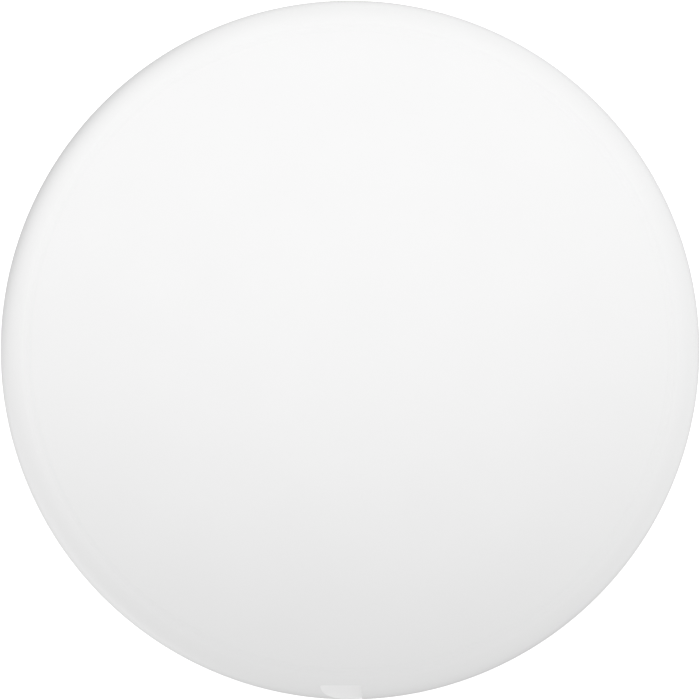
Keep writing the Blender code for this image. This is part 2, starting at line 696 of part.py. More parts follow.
def make_sounder():
    bottom = FACE_WALL + 0.02 * MM
    top = bottom + ADHESIVE_THICKNESS
    inner = SOUNDER_RADIUS - ADHESIVE_WIDTH
    glue = washer("sounder_adhesive", inner, SOUNDER_RADIUS, bottom, top, MIDDLE_SEGMENTS, y=SOUNDER_Y)
    part(glue, "sounder_adhesive", "adhesive_foam")
    bottom = top + 0.02 * MM
    plate_top = bottom + DISC_THICKNESS
    plate = disc("sounder_plate", SOUNDER_RADIUS, bottom, plate_top, MIDDLE_SEGMENTS, y=SOUNDER_Y)
    part(plate, "sounder_plate", "sounder_brass")
    bottom = plate_top + 0.02 * MM
    top = bottom + DISC_THICKNESS
    ceramic = disc("sounder_ceramic", CERAMIC_RADIUS, bottom, top, MIDDLE_SEGMENTS, y=SOUNDER_Y)
    part(ceramic, "sounder_ceramic", "sounder_ceramic")
    make_spring("sounder_spring_1", 1.6 * MM, top)
    make_spring("sounder_spring_2", -4.3 * MM, plate_top)


# Push button and switch


def make_button(button):
    steps = 3
    edge = BUTTON_RADIUS - BUTTON_CHAMFER
    face = [(edge * (1 - i / steps), dimple_height(edge * (1 - i / steps))) for i in range(steps + 1)]
    profile = [
        (0.0, BUTTON_NUB_TOP),
        (BUTTON_NUB_RADIUS - 0.1 * MM, BUTTON_NUB_TOP),
        (BUTTON_NUB_RADIUS, BUTTON_NUB_TOP - 0.1 * MM),
        (BUTTON_NUB_RADIUS, BUTTON_FLANGE_TOP),
        (BUTTON_FLANGE_RADIUS, BUTTON_FLANGE_TOP),
        (BUTTON_FLANGE_RADIUS, FACE_WALL + FIT_GAP),
        (BUTTON_RADIUS, FACE_WALL + FIT_GAP),
        (BUTTON_RADIUS, dimple_height(BUTTON_RADIUS) + BUTTON_CHAMFER),
    ] + face
    cap = turned("function_button", profile)
    part(cap, "function_button", "white_shell", button)

    flange_bottom, flange_top = STEM_FLANGE
    stem_profile = [
        (0.0, flange_top),
        (STEM_FLANGE_RADIUS, flange_top),
        (STEM_FLANGE_RADIUS, flange_bottom),
        (STEM_RADIUS, flange_bottom),
        (STEM_RADIUS, STEM_BOTTOM),
        (0.0, STEM_BOTTOM),
    ]
    stem = turned("switch_stem", stem_profile, segments=SMALL_SEGMENTS)
    part(stem, "switch_stem", "chip_black", button)


def make_switch():
    top = BOARD_BOTTOM - 0.02 * MM
    height = top - SWITCH_BOTTOM
    body = block("switch_body", (SWITCH_SIDE, SWITCH_SIDE, height), (0.0, 0.0, top - height / 2))
    well = disc("switch_well", SWITCH_WELL, SWITCH_BOTTOM - MM, SWITCH_WELL_TOP, SMALL_SEGMENTS)
    boolean(body, well, "DIFFERENCE")
    part(body, "switch_body", "chip_black")

    plate_top = SWITCH_BOTTOM - 0.02 * MM
    side = SWITCH_SIDE - 0.1 * MM
    plate = block("switch_plate", (side, side, SWITCH_PLATE), (0.0, 0.0, plate_top - SWITCH_PLATE / 2))
    hole = disc("plate_hole", STEM_RADIUS + 0.1 * MM, SWITCH_BOTTOM - MM, SWITCH_BOTTOM + MM, SMALL_SEGMENTS)
    boolean(plate, hole, "DIFFERENCE")
    part(plate, "switch_plate", "crystal_can")

    dome_radius = SWITCH_WELL - 0.1 * MM
    dome_rise = SWITCH_WELL_TOP - 0.02 * MM - DOME_SHEET - DOME_LOW
    steps = 4
    bowl = [(dome_radius * i / steps, DOME_LOW + dome_rise * (i / steps) ** 2) for i in range(steps + 1)]
    profile = [(r, z + DOME_SHEET) for r, z in bowl] + bowl[::-1]
    dome = turned("switch_dome", profile, segments=SMALL_SEGMENTS)
    part(dome, "switch_dome", "crystal_can")


make_base()
make_board()
make_frame()
make_screws()
make_contacts()
make_components()
make_sounder()
make_switch()
make_button(axis_empty("button_axis"))
make_cell(axis_empty("cell_axis"))
make_cover(axis_empty("cover_axis"))
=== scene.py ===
"""Looks of the round tracker tag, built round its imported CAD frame.

Lengths are in millimetres until a mesh becomes an object, and in the frame's metres after that.
"""

import json
import math
from functools import partial

import bmesh
import bpy
from mathutils import Matrix, Vector


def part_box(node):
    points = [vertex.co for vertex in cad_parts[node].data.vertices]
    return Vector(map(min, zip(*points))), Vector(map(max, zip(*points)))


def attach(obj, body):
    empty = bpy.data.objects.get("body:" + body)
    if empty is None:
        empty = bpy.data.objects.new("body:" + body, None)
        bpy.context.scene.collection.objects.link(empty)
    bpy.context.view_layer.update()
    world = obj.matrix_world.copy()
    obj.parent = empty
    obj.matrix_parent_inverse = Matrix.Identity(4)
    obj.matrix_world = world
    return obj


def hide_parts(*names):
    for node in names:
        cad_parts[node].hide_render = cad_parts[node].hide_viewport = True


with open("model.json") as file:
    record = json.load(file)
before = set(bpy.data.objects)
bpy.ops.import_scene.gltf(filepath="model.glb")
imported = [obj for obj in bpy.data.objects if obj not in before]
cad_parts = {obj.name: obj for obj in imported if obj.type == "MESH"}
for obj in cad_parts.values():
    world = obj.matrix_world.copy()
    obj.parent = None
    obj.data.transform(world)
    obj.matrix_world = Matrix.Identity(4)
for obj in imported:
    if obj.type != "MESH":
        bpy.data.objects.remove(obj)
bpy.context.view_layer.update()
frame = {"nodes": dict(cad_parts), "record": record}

MM = 0.001
UP = Vector((0.0, 0.0, 1.0))
RECORD = frame["record"]
BODY_OF = {node: body for body, nodes in RECORD["behaviour"]["bodies"].items() for node in nodes}
SLOT_OF = {entry["node"]: entry["material_slot"] for entry in RECORD["subparts"]}

# sides of a turned shape: the shells, smaller discs, and screws or holes
FINE, MIDDLE, SMALL = 256, 96, 48
# how one mesh changes another
CUT, ADD = "DIFFERENCE", "UNION"
# points closer than this become one
MERGE = 0.00002


def span(node):
    """Lowest and highest corner of a CAD node, in millimetres."""
    low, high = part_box(node)
    return low / MM, high / MM


def middle(node):
    """Middle of a CAD node, in millimetres."""
    low, high = span(node)
    return (low + high) / 2


# ---- materials


def add(tree, kind, inputs=None, **settings):
    """A new shader node, with its settings, and its inputs set or linked."""
    made = tree.nodes.new(kind)
    for key, value in settings.items():
        setattr(made, key, value)
    for key, value in (inputs or {}).items():
        if isinstance(value, bpy.types.NodeSocket):
            tree.links.new(value, made.inputs[key])
        else:
            made.inputs[key].default_value = value
    return made


def grain_vector(tree, pattern):
    """Where a texture is read: evenly in space, in rings round Z, or drawn out along X."""
    place = add(tree, "ShaderNodeTexCoord").outputs["Object"]
    if pattern == "even":
        return place
    if pattern == "drawn":
        stretched = {"Vector": place, "Scale": (0.04, 1.0, 1.0)}
        return add(tree, "ShaderNodeMapping", stretched).outputs["Vector"]
    parts = add(tree, "ShaderNodeSeparateXYZ", {"Vector": place})
    flat = add(tree, "ShaderNodeCombineXYZ", {"X": parts.outputs["X"], "Y": parts.outputs["Y"]})
    radius = add(tree, "ShaderNodeVectorMath", {0: flat.outputs["Vector"]}, operation="LENGTH")
    rings = {"X": radius.outputs["Value"], "Z": parts.outputs["Z"]}
    return add(tree, "ShaderNodeCombineXYZ", rings).outputs["Vector"]


def noise(tree, vector, size, detail=3.0):
    """Noise whose features are about this many millimetres across."""
    inputs = {"Vector": vector, "Scale": 1.0 / (size * MM), "Detail": detail, "Roughness": 0.55}
    return add(tree, "ShaderNodeTexNoise", inputs).outputs["Fac"]


def new_finish(name):
    """A new material and its node tree."""
    made = bpy.data.materials.new(name)
    made.use_nodes = True
    return made, made.node_tree


FINISH = {}


def surface(name, colour, roughness, metallic=0.0, tint=0.05, tint_size=1.5, uneven=0.06,
            grain=0.12, depth=0.001, pattern="even", **shader_values):
    """A procedural finish: colour and roughness that vary a little, and a fine grain in the surface."""
    made, tree = new_finish(name)
    shader = tree.nodes["Principled BSDF"]
    shader.inputs["Metallic"].default_value = metallic
    for key, value in shader_values.items():
        shader.inputs[key.replace("_", " ")].default_value = value
    vector = grain_vector(tree, pattern)
    dark = tuple(channel * (1 - tint) for channel in colour)
    light = tuple(min(channel * (1 + tint), 1.0) for channel in colour)
    mix = add(tree, "ShaderNodeMix", {"Factor": noise(tree, vector, tint_size)}, data_type="RGBA")
    mix.inputs["A"].default_value = (*dark, 1.0)
    mix.inputs["B"].default_value = (*light, 1.0)
    tree.links.new(mix.outputs["Result"], shader.inputs["Base Color"])
    patches = noise(tree, vector, grain * 6)
    spread = {"Value": patches, "To Min": roughness - uneven, "To Max": roughness + uneven}
    gloss = add(tree, "ShaderNodeMapRange", spread)
    tree.links.new(gloss.outputs["Result"], shader.inputs["Roughness"])
    relief = {"Height": noise(tree, vector, grain, 5.0), "Distance": depth * MM, "Strength": 1.0}
    tree.links.new(add(tree, "ShaderNodeBump", relief).outputs["Normal"], shader.inputs["Normal"])
    FINISH[name] = made


WHITE = (0.80, 0.80, 0.80)
surface("white_gloss", WHITE, 0.36, tint=0.012, tint_size=4, grain=0.25, depth=0.0006, uneven=0.03)
# a lighter copy of the white plastic: painted light that brightens the notch's floor and walls
surface("white_painted_light", (0.88, 0.88, 0.88), 0.5, tint=0.01, grain=0.2)
surface("white_moulded", (0.76, 0.76, 0.75), 0.55, tint=0.03, grain=0.07, depth=0.006)
surface("frame_plastic", (0.045, 0.046, 0.05), 0.5, tint=0.15, grain=0.06, depth=0.005)
surface("board_laminate", (0.012, 0.11, 0.05), 0.33, tint=0.22, tint_size=0.35, grain=0.3, depth=0.006,
        Coat_Weight=0.5, Coat_Roughness=0.15)
surface("board_edge", (0.42, 0.38, 0.20), 0.7, tint=0.2, tint_size=0.1, grain=0.05, depth=0.01)
surface("cell_steel", (0.66, 0.66, 0.67), 0.28, 1.0, tint=0.08, tint_size=0.15, grain=0.04,
        depth=0.0015, pattern="spun")
surface("grommet_nylon", (0.72, 0.74, 0.68), 0.45, depth=0.002)
surface("lithium_metal", (0.5, 0.5, 0.53), 0.5, 1.0, tint=0.2, tint_size=0.6, depth=0.01)
surface("cathode_pellet", (0.02, 0.02, 0.022), 0.9, tint=0.4, tint_size=0.08, depth=0.015)
surface("separator_paper", (0.82, 0.82, 0.79), 0.9, tint=0.06, tint_size=0.1, depth=0.01)
surface("contact_nickel", (0.72, 0.68, 0.60), 0.25, 1.0, tint=0.08, tint_size=0.2, grain=0.03,
        pattern="drawn")
surface("gold_pad", (0.86, 0.62, 0.26), 0.25, 1.0, tint=0.08, tint_size=0.2, grain=0.05)
surface("solder", (0.70, 0.71, 0.73), 0.3, 1.0, tint=0.1, tint_size=0.15, grain=0.08, depth=0.004)
surface("screw_steel", (0.42, 0.42, 0.44), 0.32, 1.0, tint=0.12, tint_size=0.1, grain=0.04)
surface("seal_silicone", (0.20, 0.21, 0.23), 0.55, tint=0.08, tint_size=0.5, depth=0.002)
surface("foam_black", (0.022, 0.022, 0.024), 0.95, tint=0.5, tint_size=0.1, depth=0.08)
surface("polyimide_film", (0.52, 0.23, 0.03), 0.25, tint=0.1, tint_size=2, depth=0.002)
surface("sounder_brass", (0.78, 0.56, 0.24), 0.26, 1.0, tint=0.1, tint_size=0.3, grain=0.04,
        pattern="drawn")
surface("sounder_ceramic", (0.74, 0.74, 0.72), 0.5, tint=0.06, tint_size=0.3, depth=0.003)
surface("adhesive_foam", (0.78, 0.78, 0.74), 0.8, tint=0.06, tint_size=0.2, depth=0.01)
surface("chip_black", (0.028, 0.028, 0.03), 0.55, tint=0.25, tint_size=0.1, grain=0.03, depth=0.004)
surface("crystal_can", (0.74, 0.71, 0.64), 0.28, 1.0, tint=0.06, grain=0.05, pattern="drawn")
surface("antenna_ceramic", (0.74, 0.77, 0.80), 0.6, tint_size=0.2, depth=0.003)
surface("capacitor_ceramic", (0.40, 0.24, 0.13), 0.45, tint=0.18, tint_size=0.2, depth=0.003)
surface("resistor_black", (0.02, 0.02, 0.024), 0.3, tint=0.2, tint_size=0.2, depth=0.002)
surface("alumina", (0.80, 0.80, 0.78), 0.6, tint_size=0.1, depth=0.003)
surface("inductor_ferrite", (0.075, 0.075, 0.08), 0.6, tint=0.25, tint_size=0.12, depth=0.006)


# ---- mesh tools


def fillet_arc(before, corner, after, radius, steps):
    """Points of the arc that rounds a corner of a profile."""
    corner, to_before, to_after = Vector(corner), Vector(before), Vector(after)
    to_before -= corner
    to_after -= corner
    room = 0.49 * min(to_before.length, to_after.length)
    to_before.normalize()
    to_after.normalize()
    half = to_before.angle(to_after) / 2
    cut = min(radius / math.tan(half), room)
    centre = corner + (to_before + to_after).normalized() * cut / math.cos(half)
    start, end = corner + to_before * cut - centre, corner + to_after * cut - centre
    sweep = start.angle(end)
    for i in range(steps + 1):
        share = i / steps
        blend = start * math.sin((1 - share) * sweep) + end * math.sin(share * sweep)
        yield tuple(centre + blend / math.sin(sweep))


def rounded(corners, closed=False, steps=5):
    """A profile from corners of (radius, height, fillet), each fillet drawn as an arc."""
    points = []
    count = len(corners)
    for i, (r, z, fillet) in enumerate(corners):
        inner = closed or 0 < i < count - 1
        if fillet and inner:
            before, after = corners[i - 1][:2], corners[(i + 1) % count][:2]
            points.extend(fillet_arc(before, (r, z), after, fillet, steps))
        else:
            points.append((r, z))
    return points


def arc(centre, radius, start, end, steps):
    """Points on an arc, from one angle to another in degrees."""
    for i in range(steps + 1):
        angle = math.radians(start + (end - start) * i / steps)
        yield centre[0] + radius * math.cos(angle), centre[1] + radius * math.sin(angle)


def turned(profile, segments=FINE, closed=False, centre=(0.0, 0.0), wave=None):
    """A profile of (radius, height) points, running down its outer side, turned about Z.

    wave(angle, radius, height) is added to the radius of each point.
    """
    shape = bmesh.new()
    rings = []
    for radius, height in profile:
        if radius < 1e-6:
            rings.append([shape.verts.new((*centre, height))])
            continue
        ring = []
        for i in range(segments):
            angle = 2 * math.pi * i / segments
            reach = radius + (wave(angle, radius, height) if wave else 0.0)
            place = (centre[0] + reach * math.cos(angle), centre[1] + reach * math.sin(angle), height)
            ring.append(shape.verts.new(place))
        rings.append(ring)
    pairs = list(zip(rings, rings[1:]))
    if closed:
        pairs.append((rings[-1], rings[0]))
    for upper, lower in pairs:
        for i in range(segments):
            j = (i + 1) % segments
            if len(upper) == 1:
                shape.faces.new((upper[0], lower[i], lower[j]))
            elif len(lower) == 1:
                shape.faces.new((upper[i], lower[0], upper[j]))
            else:
                shape.faces.new((upper[i], lower[i], lower[j], upper[j]))
    bmesh.ops.remove_doubles(shape, verts=shape.verts, dist=MERGE)
    return shape


def disc(radius, bottom, top, edge=0.02, segments=MIDDLE, centre=(0.0, 0.0)):
    corners = [(0, top, 0), (radius, top, edge), (radius, bottom, edge), (0, bottom, 0)]
    return turned(rounded(corners, steps=3), segments, centre=centre)


def washer(inner, outer, bottom, top, edge=0.02, segments=MIDDLE, centre=(0.0, 0.0)):
    corners = [(inner, top, edge), (outer, top, edge), (outer, bottom, edge), (inner, bottom, edge)]
    return turned(rounded(corners, closed=True, steps=3), segments, closed=True, centre=centre)


def bevelled(shape, offset, segments=2):
    """A mesh with all its edges rounded."""
    bmesh.ops.bevel(shape, geom=shape.edges[:], offset=offset, segments=segments, affect="EDGES", profile=0.5)
    return shape


def box(size, centre, edge=0.04, angle=0.0, steps=2):
    """A box with rounded edges, turned about its own upright axis by an angle in degrees."""
    shape = bmesh.new()
    bmesh.ops.create_cube(shape, size=1.0, matrix=Matrix.Diagonal((*size, 1.0)))
    if edge:
        bevelled(shape, edge, steps)
    shape.transform(Matrix.Translation(centre) @ spin(angle))
    return shape


def grown_points(shape, face):
    """Extrudes a face and gives the points of its far side, which haven't moved yet."""
    grown = bmesh.ops.extrude_face_region(shape, geom=[face])["geom"]
    return [part for part in grown if isinstance(part, bmesh.types.BMVert)]


def hole(radius, low, high, centre=(0.0, 0.0)):
    """A step that cuts a round hole, from below one height to above another."""
    return CUT, disc(radius, low - 1, high + 1, 0, SMALL, centre)


def prism(outline, low, high, edge=0.0):
    """An outline of (x, y) points made solid from one height to another."""
    shape = bmesh.new()
    foot = shape.faces.new([shape.verts.new((x, y, low)) for x, y in outline])
    bmesh.ops.translate(shape, vec=UP * (high - low), verts=grown_points(shape, foot))
    bmesh.ops.recalc_face_normals(shape, faces=shape.faces)
    return bevelled(shape, edge) if edge else shape


def spin(angle):
    """A turn about Z by an angle in degrees."""
    return Matrix.Rotation(math.radians(angle), 4, "Z")


def turned_by(shape, *moves):
    """A mesh after each of these matrices in turn."""
    for move in moves:
        shape.transform(move)
    return shape


def joined(*shapes):
    """One mesh of (mesh, material index) pairs, or of plain meshes, which take the first material."""
    whole = bmesh.new()
    for entry in shapes:
        shape, index = entry if isinstance(entry, tuple) else (entry, 0)
        for face in shape.faces:
            face.material_index = index
        carrier = bpy.data.meshes.new("carrier")
        shape.to_mesh(carrier)
        shape.free()
        whole.from_mesh(carrier)
        bpy.data.meshes.remove(carrier)
    return whole


def put_in_scene(name, data):
    """A new object in the scene that carries a mesh, a camera or a light."""
    made = bpy.data.objects.new(name, data)
    bpy.context.scene.collection.objects.link(made)
    return made


def mesh_object(name, shape):
    """A new object in the scene that carries a mesh, which is freed."""
    mesh = bpy.data.meshes.new(name)
    shape.to_mesh(mesh)
    shape.free()
    return put_in_scene(name, mesh)


def combined(shape, *steps):
    """A mesh after Booleans, each step an operation and a mesh."""
    base = mesh_object("working", shape)
    tools = []
    for operation, tool in steps:
        tools.append(mesh_object("working", tool))
        change = base.modifiers.new("change", "BOOLEAN")
        change.object = tools[-1]
        change.operation = operation
        change.solver = "EXACT"
    graph = bpy.context.evaluated_depsgraph_get()
    mesh = bpy.data.meshes.new_from_object(base.evaluated_get(graph))
    result = bmesh.new()
    result.from_mesh(mesh)
    bmesh.ops.remove_doubles(result, verts=result.verts, dist=MERGE)
    bmesh.ops.holes_fill(result, edges=[edge for edge in result.edges if edge.is_boundary], sides=4)
    for used in (base, *tools):
        bpy.data.objects.remove(used)
    return result


# edges that turn by more than this many degrees look sharp
SHARP_EDGE = 32.0


def piece(name, shape, nodes, *finishes):
    """Makes a mesh a piece that stands for these CAD nodes. The first of them gives its body."""
    limit = math.radians(SHARP_EDGE)
    for face in shape.faces:
        face.smooth = True
    for edge in shape.edges:
        edge.smooth = edge.is_manifold and edge.calc_face_angle() < limit
    made = mesh_object(name, shape)
    made.data.transform(Matrix.Scale(MM, 4))
    for finish in finishes:
        made.data.materials.append(FINISH[finish])
    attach(made, BODY_OF[nodes[0]])
    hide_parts(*nodes)
    return made


# ---- shells

# the face: where the dome meets the rounded edge, the dome's rise, and the edge's slope there in degrees
SHOULDER, DOME_RISE, CREASE = 14.85, 0.25, 8.0
FACE_WALL = 0.9
# fine groove round the face
GROOVE_RADIUS, GROOVE_WIDTH, GROOVE_DEPTH = 14.6, 0.44, 0.035
# pry notch: its back wall's radius, its ends, its floor's highest point and the floor's two slopes
NOTCH_RADIUS = 15.16
NOTCH_LEFT, NOTCH_RIGHT, NOTCH_RUN_OUT = -1.36, 0.56, 0.5
NOTCH_TOP = 7.65
NOTCH_DROP_ACROSS, NOTCH_DROP_OUT = 0.42, 0.5
# pocket in the base's rim under the notch: length, depth and height
PRY_POCKET = (1.6, 0.7, 0.35)
# the cover's plug skirt, with the sealing ring's seat and the bead below it
SKIRT_RADIUS, SKIRT_INSIDE, SKIRT_TIP, SKIRT_LEAD_IN = 14.62, 13.95, 14.45, 4.32
SEAL_SEAT, SEAL_LOW, SEAL_HIGH = 14.37, 4.95, 5.45
BEAD_RADIUS, BEAD_HEIGHTS = 14.78, (4.84, 4.70, 4.50, 4.37)
# rib round the cover's pad: outer and inner radius, and depth
PAD_RIB = (9.3, 8.7, 0.25)
# the base's wall, the groove that the bead drops into, and the rounded lower edge
INNER_RADIUS = 14.8
BEAD_GROOVE, BEAD_GROOVE_HEIGHTS = 14.95, (4.25, 4.40, 4.80, 4.95)
FOOT_RADIUS = 1.6
BOSS_CIRCLE = 12.2
BOSS_ANGLES = (30, 150, 270)
REST_CIRCLE, REST_ANGLES = 14.15, (60, 120, 210, 330)
KEY_CIRCLE = 14.2
BUTTON_HOLE, BUTTON_FACE = 3.15, 2.9
DIMPLE_RADIUS, DIMPLE_DEPTH = 4.6, 0.2


def polar(radius, angle):
    return radius * math.cos(math.radians(angle)), radius * math.sin(math.radians(angle))


def face_height(radius, top):
    """The dome, with the fine groove that runs round it just inside the rounded edge."""
    off_centre = (radius - GROOVE_RADIUS) / (GROOVE_WIDTH / 2)
    groove = GROOVE_DEPTH * math.cos(off_centre * math.pi / 2) ** 2 if abs(off_centre) < 1 else 0.0
    return top - DOME_RISE * (radius / SHOULDER) ** 2 - groove


def edge_bend(tag_radius):
    """Radius of the rounded edge, which starts at the shoulder and ends upright."""
    return (tag_radius - SHOULDER) / (1 - math.sin(math.radians(CREASE)))


def cover_profile(low, high):
    """Face, rounded edge, seam, skirt and underside, from the middle outwards and back."""
    tag_radius, top = high.x, high.z
    seat = span("base_shell")[1].z + 0.05
    ceiling = top - FACE_WALL
    dome_radii = [14.4 * i / 28 for i in range(29)]
    dome_radii += [GROOVE_RADIUS + GROOVE_WIDTH * i / 12 for i in range(-6, 7)]
    dome = [(radius, face_height(radius, top)) for radius in dome_radii]
    bend = edge_bend(tag_radius)
    centre = (tag_radius - bend, top - DOME_RISE - bend * math.cos(math.radians(CREASE)))
    edge = list(arc(centre, bend, 90 - CREASE, 0, 20))
    seam = [(tag_radius, centre[1] - 0.1, 0), (tag_radius, seat, 0.12), (SKIRT_RADIUS, seat, 0.05)]
    seal = [(SKIRT_RADIUS, SEAL_HIGH, 0.03), (SEAL_SEAT, SEAL_HIGH, 0.04), (SEAL_SEAT, SEAL_LOW, 0.04),
            (SKIRT_RADIUS, SEAL_LOW, 0.03)]
    bead_top, bead_high, bead_low, bead_foot = BEAD_HEIGHTS
    bead = [(SKIRT_RADIUS, bead_top, 0.04), (BEAD_RADIUS, bead_high, 0.05), (BEAD_RADIUS, bead_low, 0.05),
            (SKIRT_RADIUS, bead_foot, 0.03)]
    skirt = [(SKIRT_RADIUS, SKIRT_LEAD_IN, 0), (SKIRT_TIP, low.z, 0.03), (SKIRT_INSIDE, low.z, 0.08),
             (SKIRT_INSIDE, ceiling, 0.5)]
    outer, inner, depth = PAD_RIB
    rib = [(outer, ceiling, 0.05), (outer, ceiling - depth, 0.06), (inner, ceiling - depth, 0.06),
           (inner, ceiling, 0.05)]
    return dome + edge + rounded(seam + seal + bead + skirt + rib + [(0, ceiling, 0)])


def notch_tool(top):
    """Everything above the notch's floor, which falls to the right and outwards, up to its two walls."""
    outer = top + span("battery_cover")[1].x
    left = NOTCH_LEFT - NOTCH_RUN_OUT
    corners = []
    for x, radius in ((left, NOTCH_RADIUS), (NOTCH_RIGHT, NOTCH_RADIUS), (NOTCH_RIGHT, outer), (left, outer)):
        drop = NOTCH_DROP_ACROSS * (x - NOTCH_LEFT) + NOTCH_DROP_OUT * (radius - NOTCH_RADIUS)
        corners.append((x, -radius, NOTCH_TOP - drop))
    shape = bmesh.new()
    floor = shape.faces.new([shape.verts.new(corner) for corner in corners])
    for vertex in grown_points(shape, floor):
        vertex.co.z = top + 1.0
    bmesh.ops.recalc_face_normals(shape, faces=shape.faces)
    return bevelled(shape, 0.05, 3)


def mark_inside(shape, test):
    """Gives the faces whose middle passes a test the second finish."""
    for face in shape.faces:
        centre = face.calc_center_median()
        if test(math.hypot(centre.x, centre.y), centre.z):
            face.material_index = 1


def edge_lean(radius, tag_radius):
    """How far the rounded edge faces outwards at a radius, as the sine of its tilt."""
    bend = edge_bend(tag_radius)
    return max((radius - tag_radius + bend) / bend, 0.0)


def mark_notch(shape, tag_radius):
    """Gives the notch's floor and walls a lighter copy of the white finish: painted light, so the notch reads
    brighter than its shading would make it.
    """
    for face in shape.faces:
        centre = face.calc_center_median()
        radius = math.hypot(centre.x, centre.y)
        along = NOTCH_LEFT - NOTCH_RUN_OUT < centre.x < NOTCH_RIGHT + 0.02
        across = centre.y < -NOTCH_RADIUS + 0.12 and radius < tag_radius - 0.02
        outward = Vector((centre.x, centre.y, 0)).normalized().dot(face.normal)
        off_the_edge = abs(outward - edge_lean(radius, tag_radius)) > 0.06
        if along and across and centre.z > 6.0 and off_the_edge:
            face.material_index = 2


def make_cover():
    """The white shell. A gate mark and three ejector marks stand on its ceiling."""
    low, high = span("battery_cover")
    shell = combined(turned(cover_profile(low, high)), (CUT, notch_tool(high.z)))
    ceiling = high.z - FACE_WALL
    places = [(0.8, 0.06, (11.2, 0.0))] + [(0.7, 0.04, polar(12.0, angle)) for angle in (90, 210, 330)]
    marks = []
    for radius, depth, centre in places:
        mark = disc(radius, ceiling - depth, ceiling + 0.2, segments=SMALL, centre=centre)
        marks.append((ADD, mark))
    shell = combined(shell, *marks)
    mark_inside(shell, lambda radius, height: radius < 14.3 and height < ceiling + 0.01)
    # the notch's floor and walls take the third finish, which is painted light
    mark_notch(shell, high.x)
    piece("battery_cover_shell", shell, ["battery_cover"], "white_gloss", "white_moulded", "white_painted_light")


def make_seal():
    low, high = span("sealing_ring")
    section = (high.z - low.z) / 2
    ring = list(arc((high.x - section, (low.z + high.z) / 2), section, 180, -165, 23))
    piece("sealing_ring_silicone", turned(ring, closed=True), ["sealing_ring"], "seal_silicone")


def make_cover_pad():
    """A foam disc whose side bulges a little."""
    low, high = span("cover_pad")
    bulge, steps = 0.05, 8
    outer = high.x - bulge
    corners = [(0, high.z, 0), (outer, high.z, 0.05)]
    for i in range(1, steps):
        height = high.z + (low.z - high.z) * i / steps
        corners.append((outer + bulge * math.sin(math.pi * i / steps), height, 0))
    corners += [(outer, low.z, 0.05), (0, low.z, 0)]
    pad = piece("cover_pad_foam", turned(rounded(corners), MIDDLE), ["cover_pad"], "foam_black")


def dimple_height(radius):
    """Height of the finger dimple in the underside."""
    return DIMPLE_DEPTH * (1 - (radius / DIMPLE_RADIUS) ** 2)


def base_profile(high):
    """Inside of the wall, seam, outside, and the underside with its dimple and the button's hole."""
    tag_radius, seam = high.x, high.z
    groove_foot, groove_low, groove_high, groove_top = BEAD_GROOVE_HEIGHTS
    inside = [(BUTTON_HOLE, FACE_WALL, 0.05), (INNER_RADIUS, FACE_WALL, 0.8),
              (INNER_RADIUS, groove_foot, 0.03), (BEAD_GROOVE, groove_low, 0.05),
              (BEAD_GROOVE, groove_high, 0.05), (INNER_RADIUS, groove_top, 0.03)]
    rim = [(INNER_RADIUS, seam - 0.15, 0.05), (INNER_RADIUS + 0.1, seam, 0.03), (tag_radius, seam, 0.12),
           (tag_radius, FOOT_RADIUS + 0.2, 0)]
    foot = list(arc((tag_radius - FOOT_RADIUS, FOOT_RADIUS), FOOT_RADIUS, 0, -90, 20))
    flat = [(radius, 0.0) for radius in (12.0, 9.0, 6.0, 4.9)]
    dimple_radii = [DIMPLE_RADIUS - 0.05 - 0.2 * i for i in range(7)]
    dimple = [(radius, dimple_height(radius)) for radius in dimple_radii]
    lip = [(BUTTON_HOLE, dimple_height(BUTTON_HOLE) + 0.03)]
    return rounded(inside + rim) + foot + flat + dimple + lip


def base_features():
    """Screw bosses with crossed ribs, board rests and the key, which all grow from the floor.

    Their feet and the ribs' tops lie at slightly different heights, so that no two of their faces coincide.
    """
    root, stand = 0.5, span("circuit_board")[0].z - 0.05
    steps = []
    for angle in BOSS_ANGLES:
        steps.append((ADD, disc(1.4, root, stand, 0.1, SMALL, polar(BOSS_CIRCLE, angle))))
        for turn, foot, top in ((45, root + 0.05, stand - 0.3), (135, root + 0.1, stand - 0.33)):
            centre = (*polar(BOSS_CIRCLE, angle), (foot + top) / 2)
            steps.append((ADD, box((3.6, 0.45, top - foot), centre, 0.05, angle + turn)))
    for angle in REST_ANGLES:
        centre = (*polar(REST_CIRCLE, angle), (root + stand) / 2)
        steps.append((ADD, box((2.1, 1.2, stand - root), centre, 0.08, angle)))
    steps.append((ADD, disc(0.7, root, 3.4, 0.12, SMALL, (KEY_CIRCLE, 0.0))))
    return steps


def make_base():
    """The lower shell, then the pocket under the notch and the holes in the screw bosses."""
    high = span("base_shell")[1]
    long, deep, tall = PRY_POCKET
    centre = ((NOTCH_LEFT + NOTCH_RIGHT) / 2, -high.x, high.z)
    cuts = [(CUT, box((long, 2 * deep, 2 * tall), centre, 0.06))]
    for angle in BOSS_ANGLES:
        cuts.append((CUT, disc(0.72, 1.03, 3.0, 0, SMALL, polar(BOSS_CIRCLE, angle))))
    shell = combined(turned(base_profile(high), closed=True), *base_features())
    shell = combined(shell, *cuts)
    mark_inside(shell, lambda radius, height: radius < 14.79 and height > 0.3 and radius > 3.2)
    piece("base_shell_moulding", shell, ["base_shell"], "white_gloss", "white_moulded")


def make_button():
    """A cap whose face follows the dimple, with a flange inside the shell and a peg for the switch."""
    high = span("function_button")[1]
    face_radii = [BUTTON_FACE * (1 - i / 8) for i in range(9)]
    face = [(radius, dimple_height(radius)) for radius in face_radii]
    peg, neck, flange = 0.7, 3.0, 3.7
    flange_top, flange_foot = 1.2, 0.93
    upper = rounded([(0, high.z, 0), (peg, high.z, 0.1), (peg, flange_top, 0.08), (flange, flange_top, 0.05),
                     (flange, flange_foot, 0.05), (neck, flange_foot, 0.03), (neck, face[0][1] + 0.09, 0)])
    cap = turned(upper + face, MIDDLE)
    mark_inside(cap, lambda radius, height: height > FACE_WALL)
    piece("function_button_cap", cap, ["function_button"], "white_gloss", "white_moulded")


# ---- coin cell


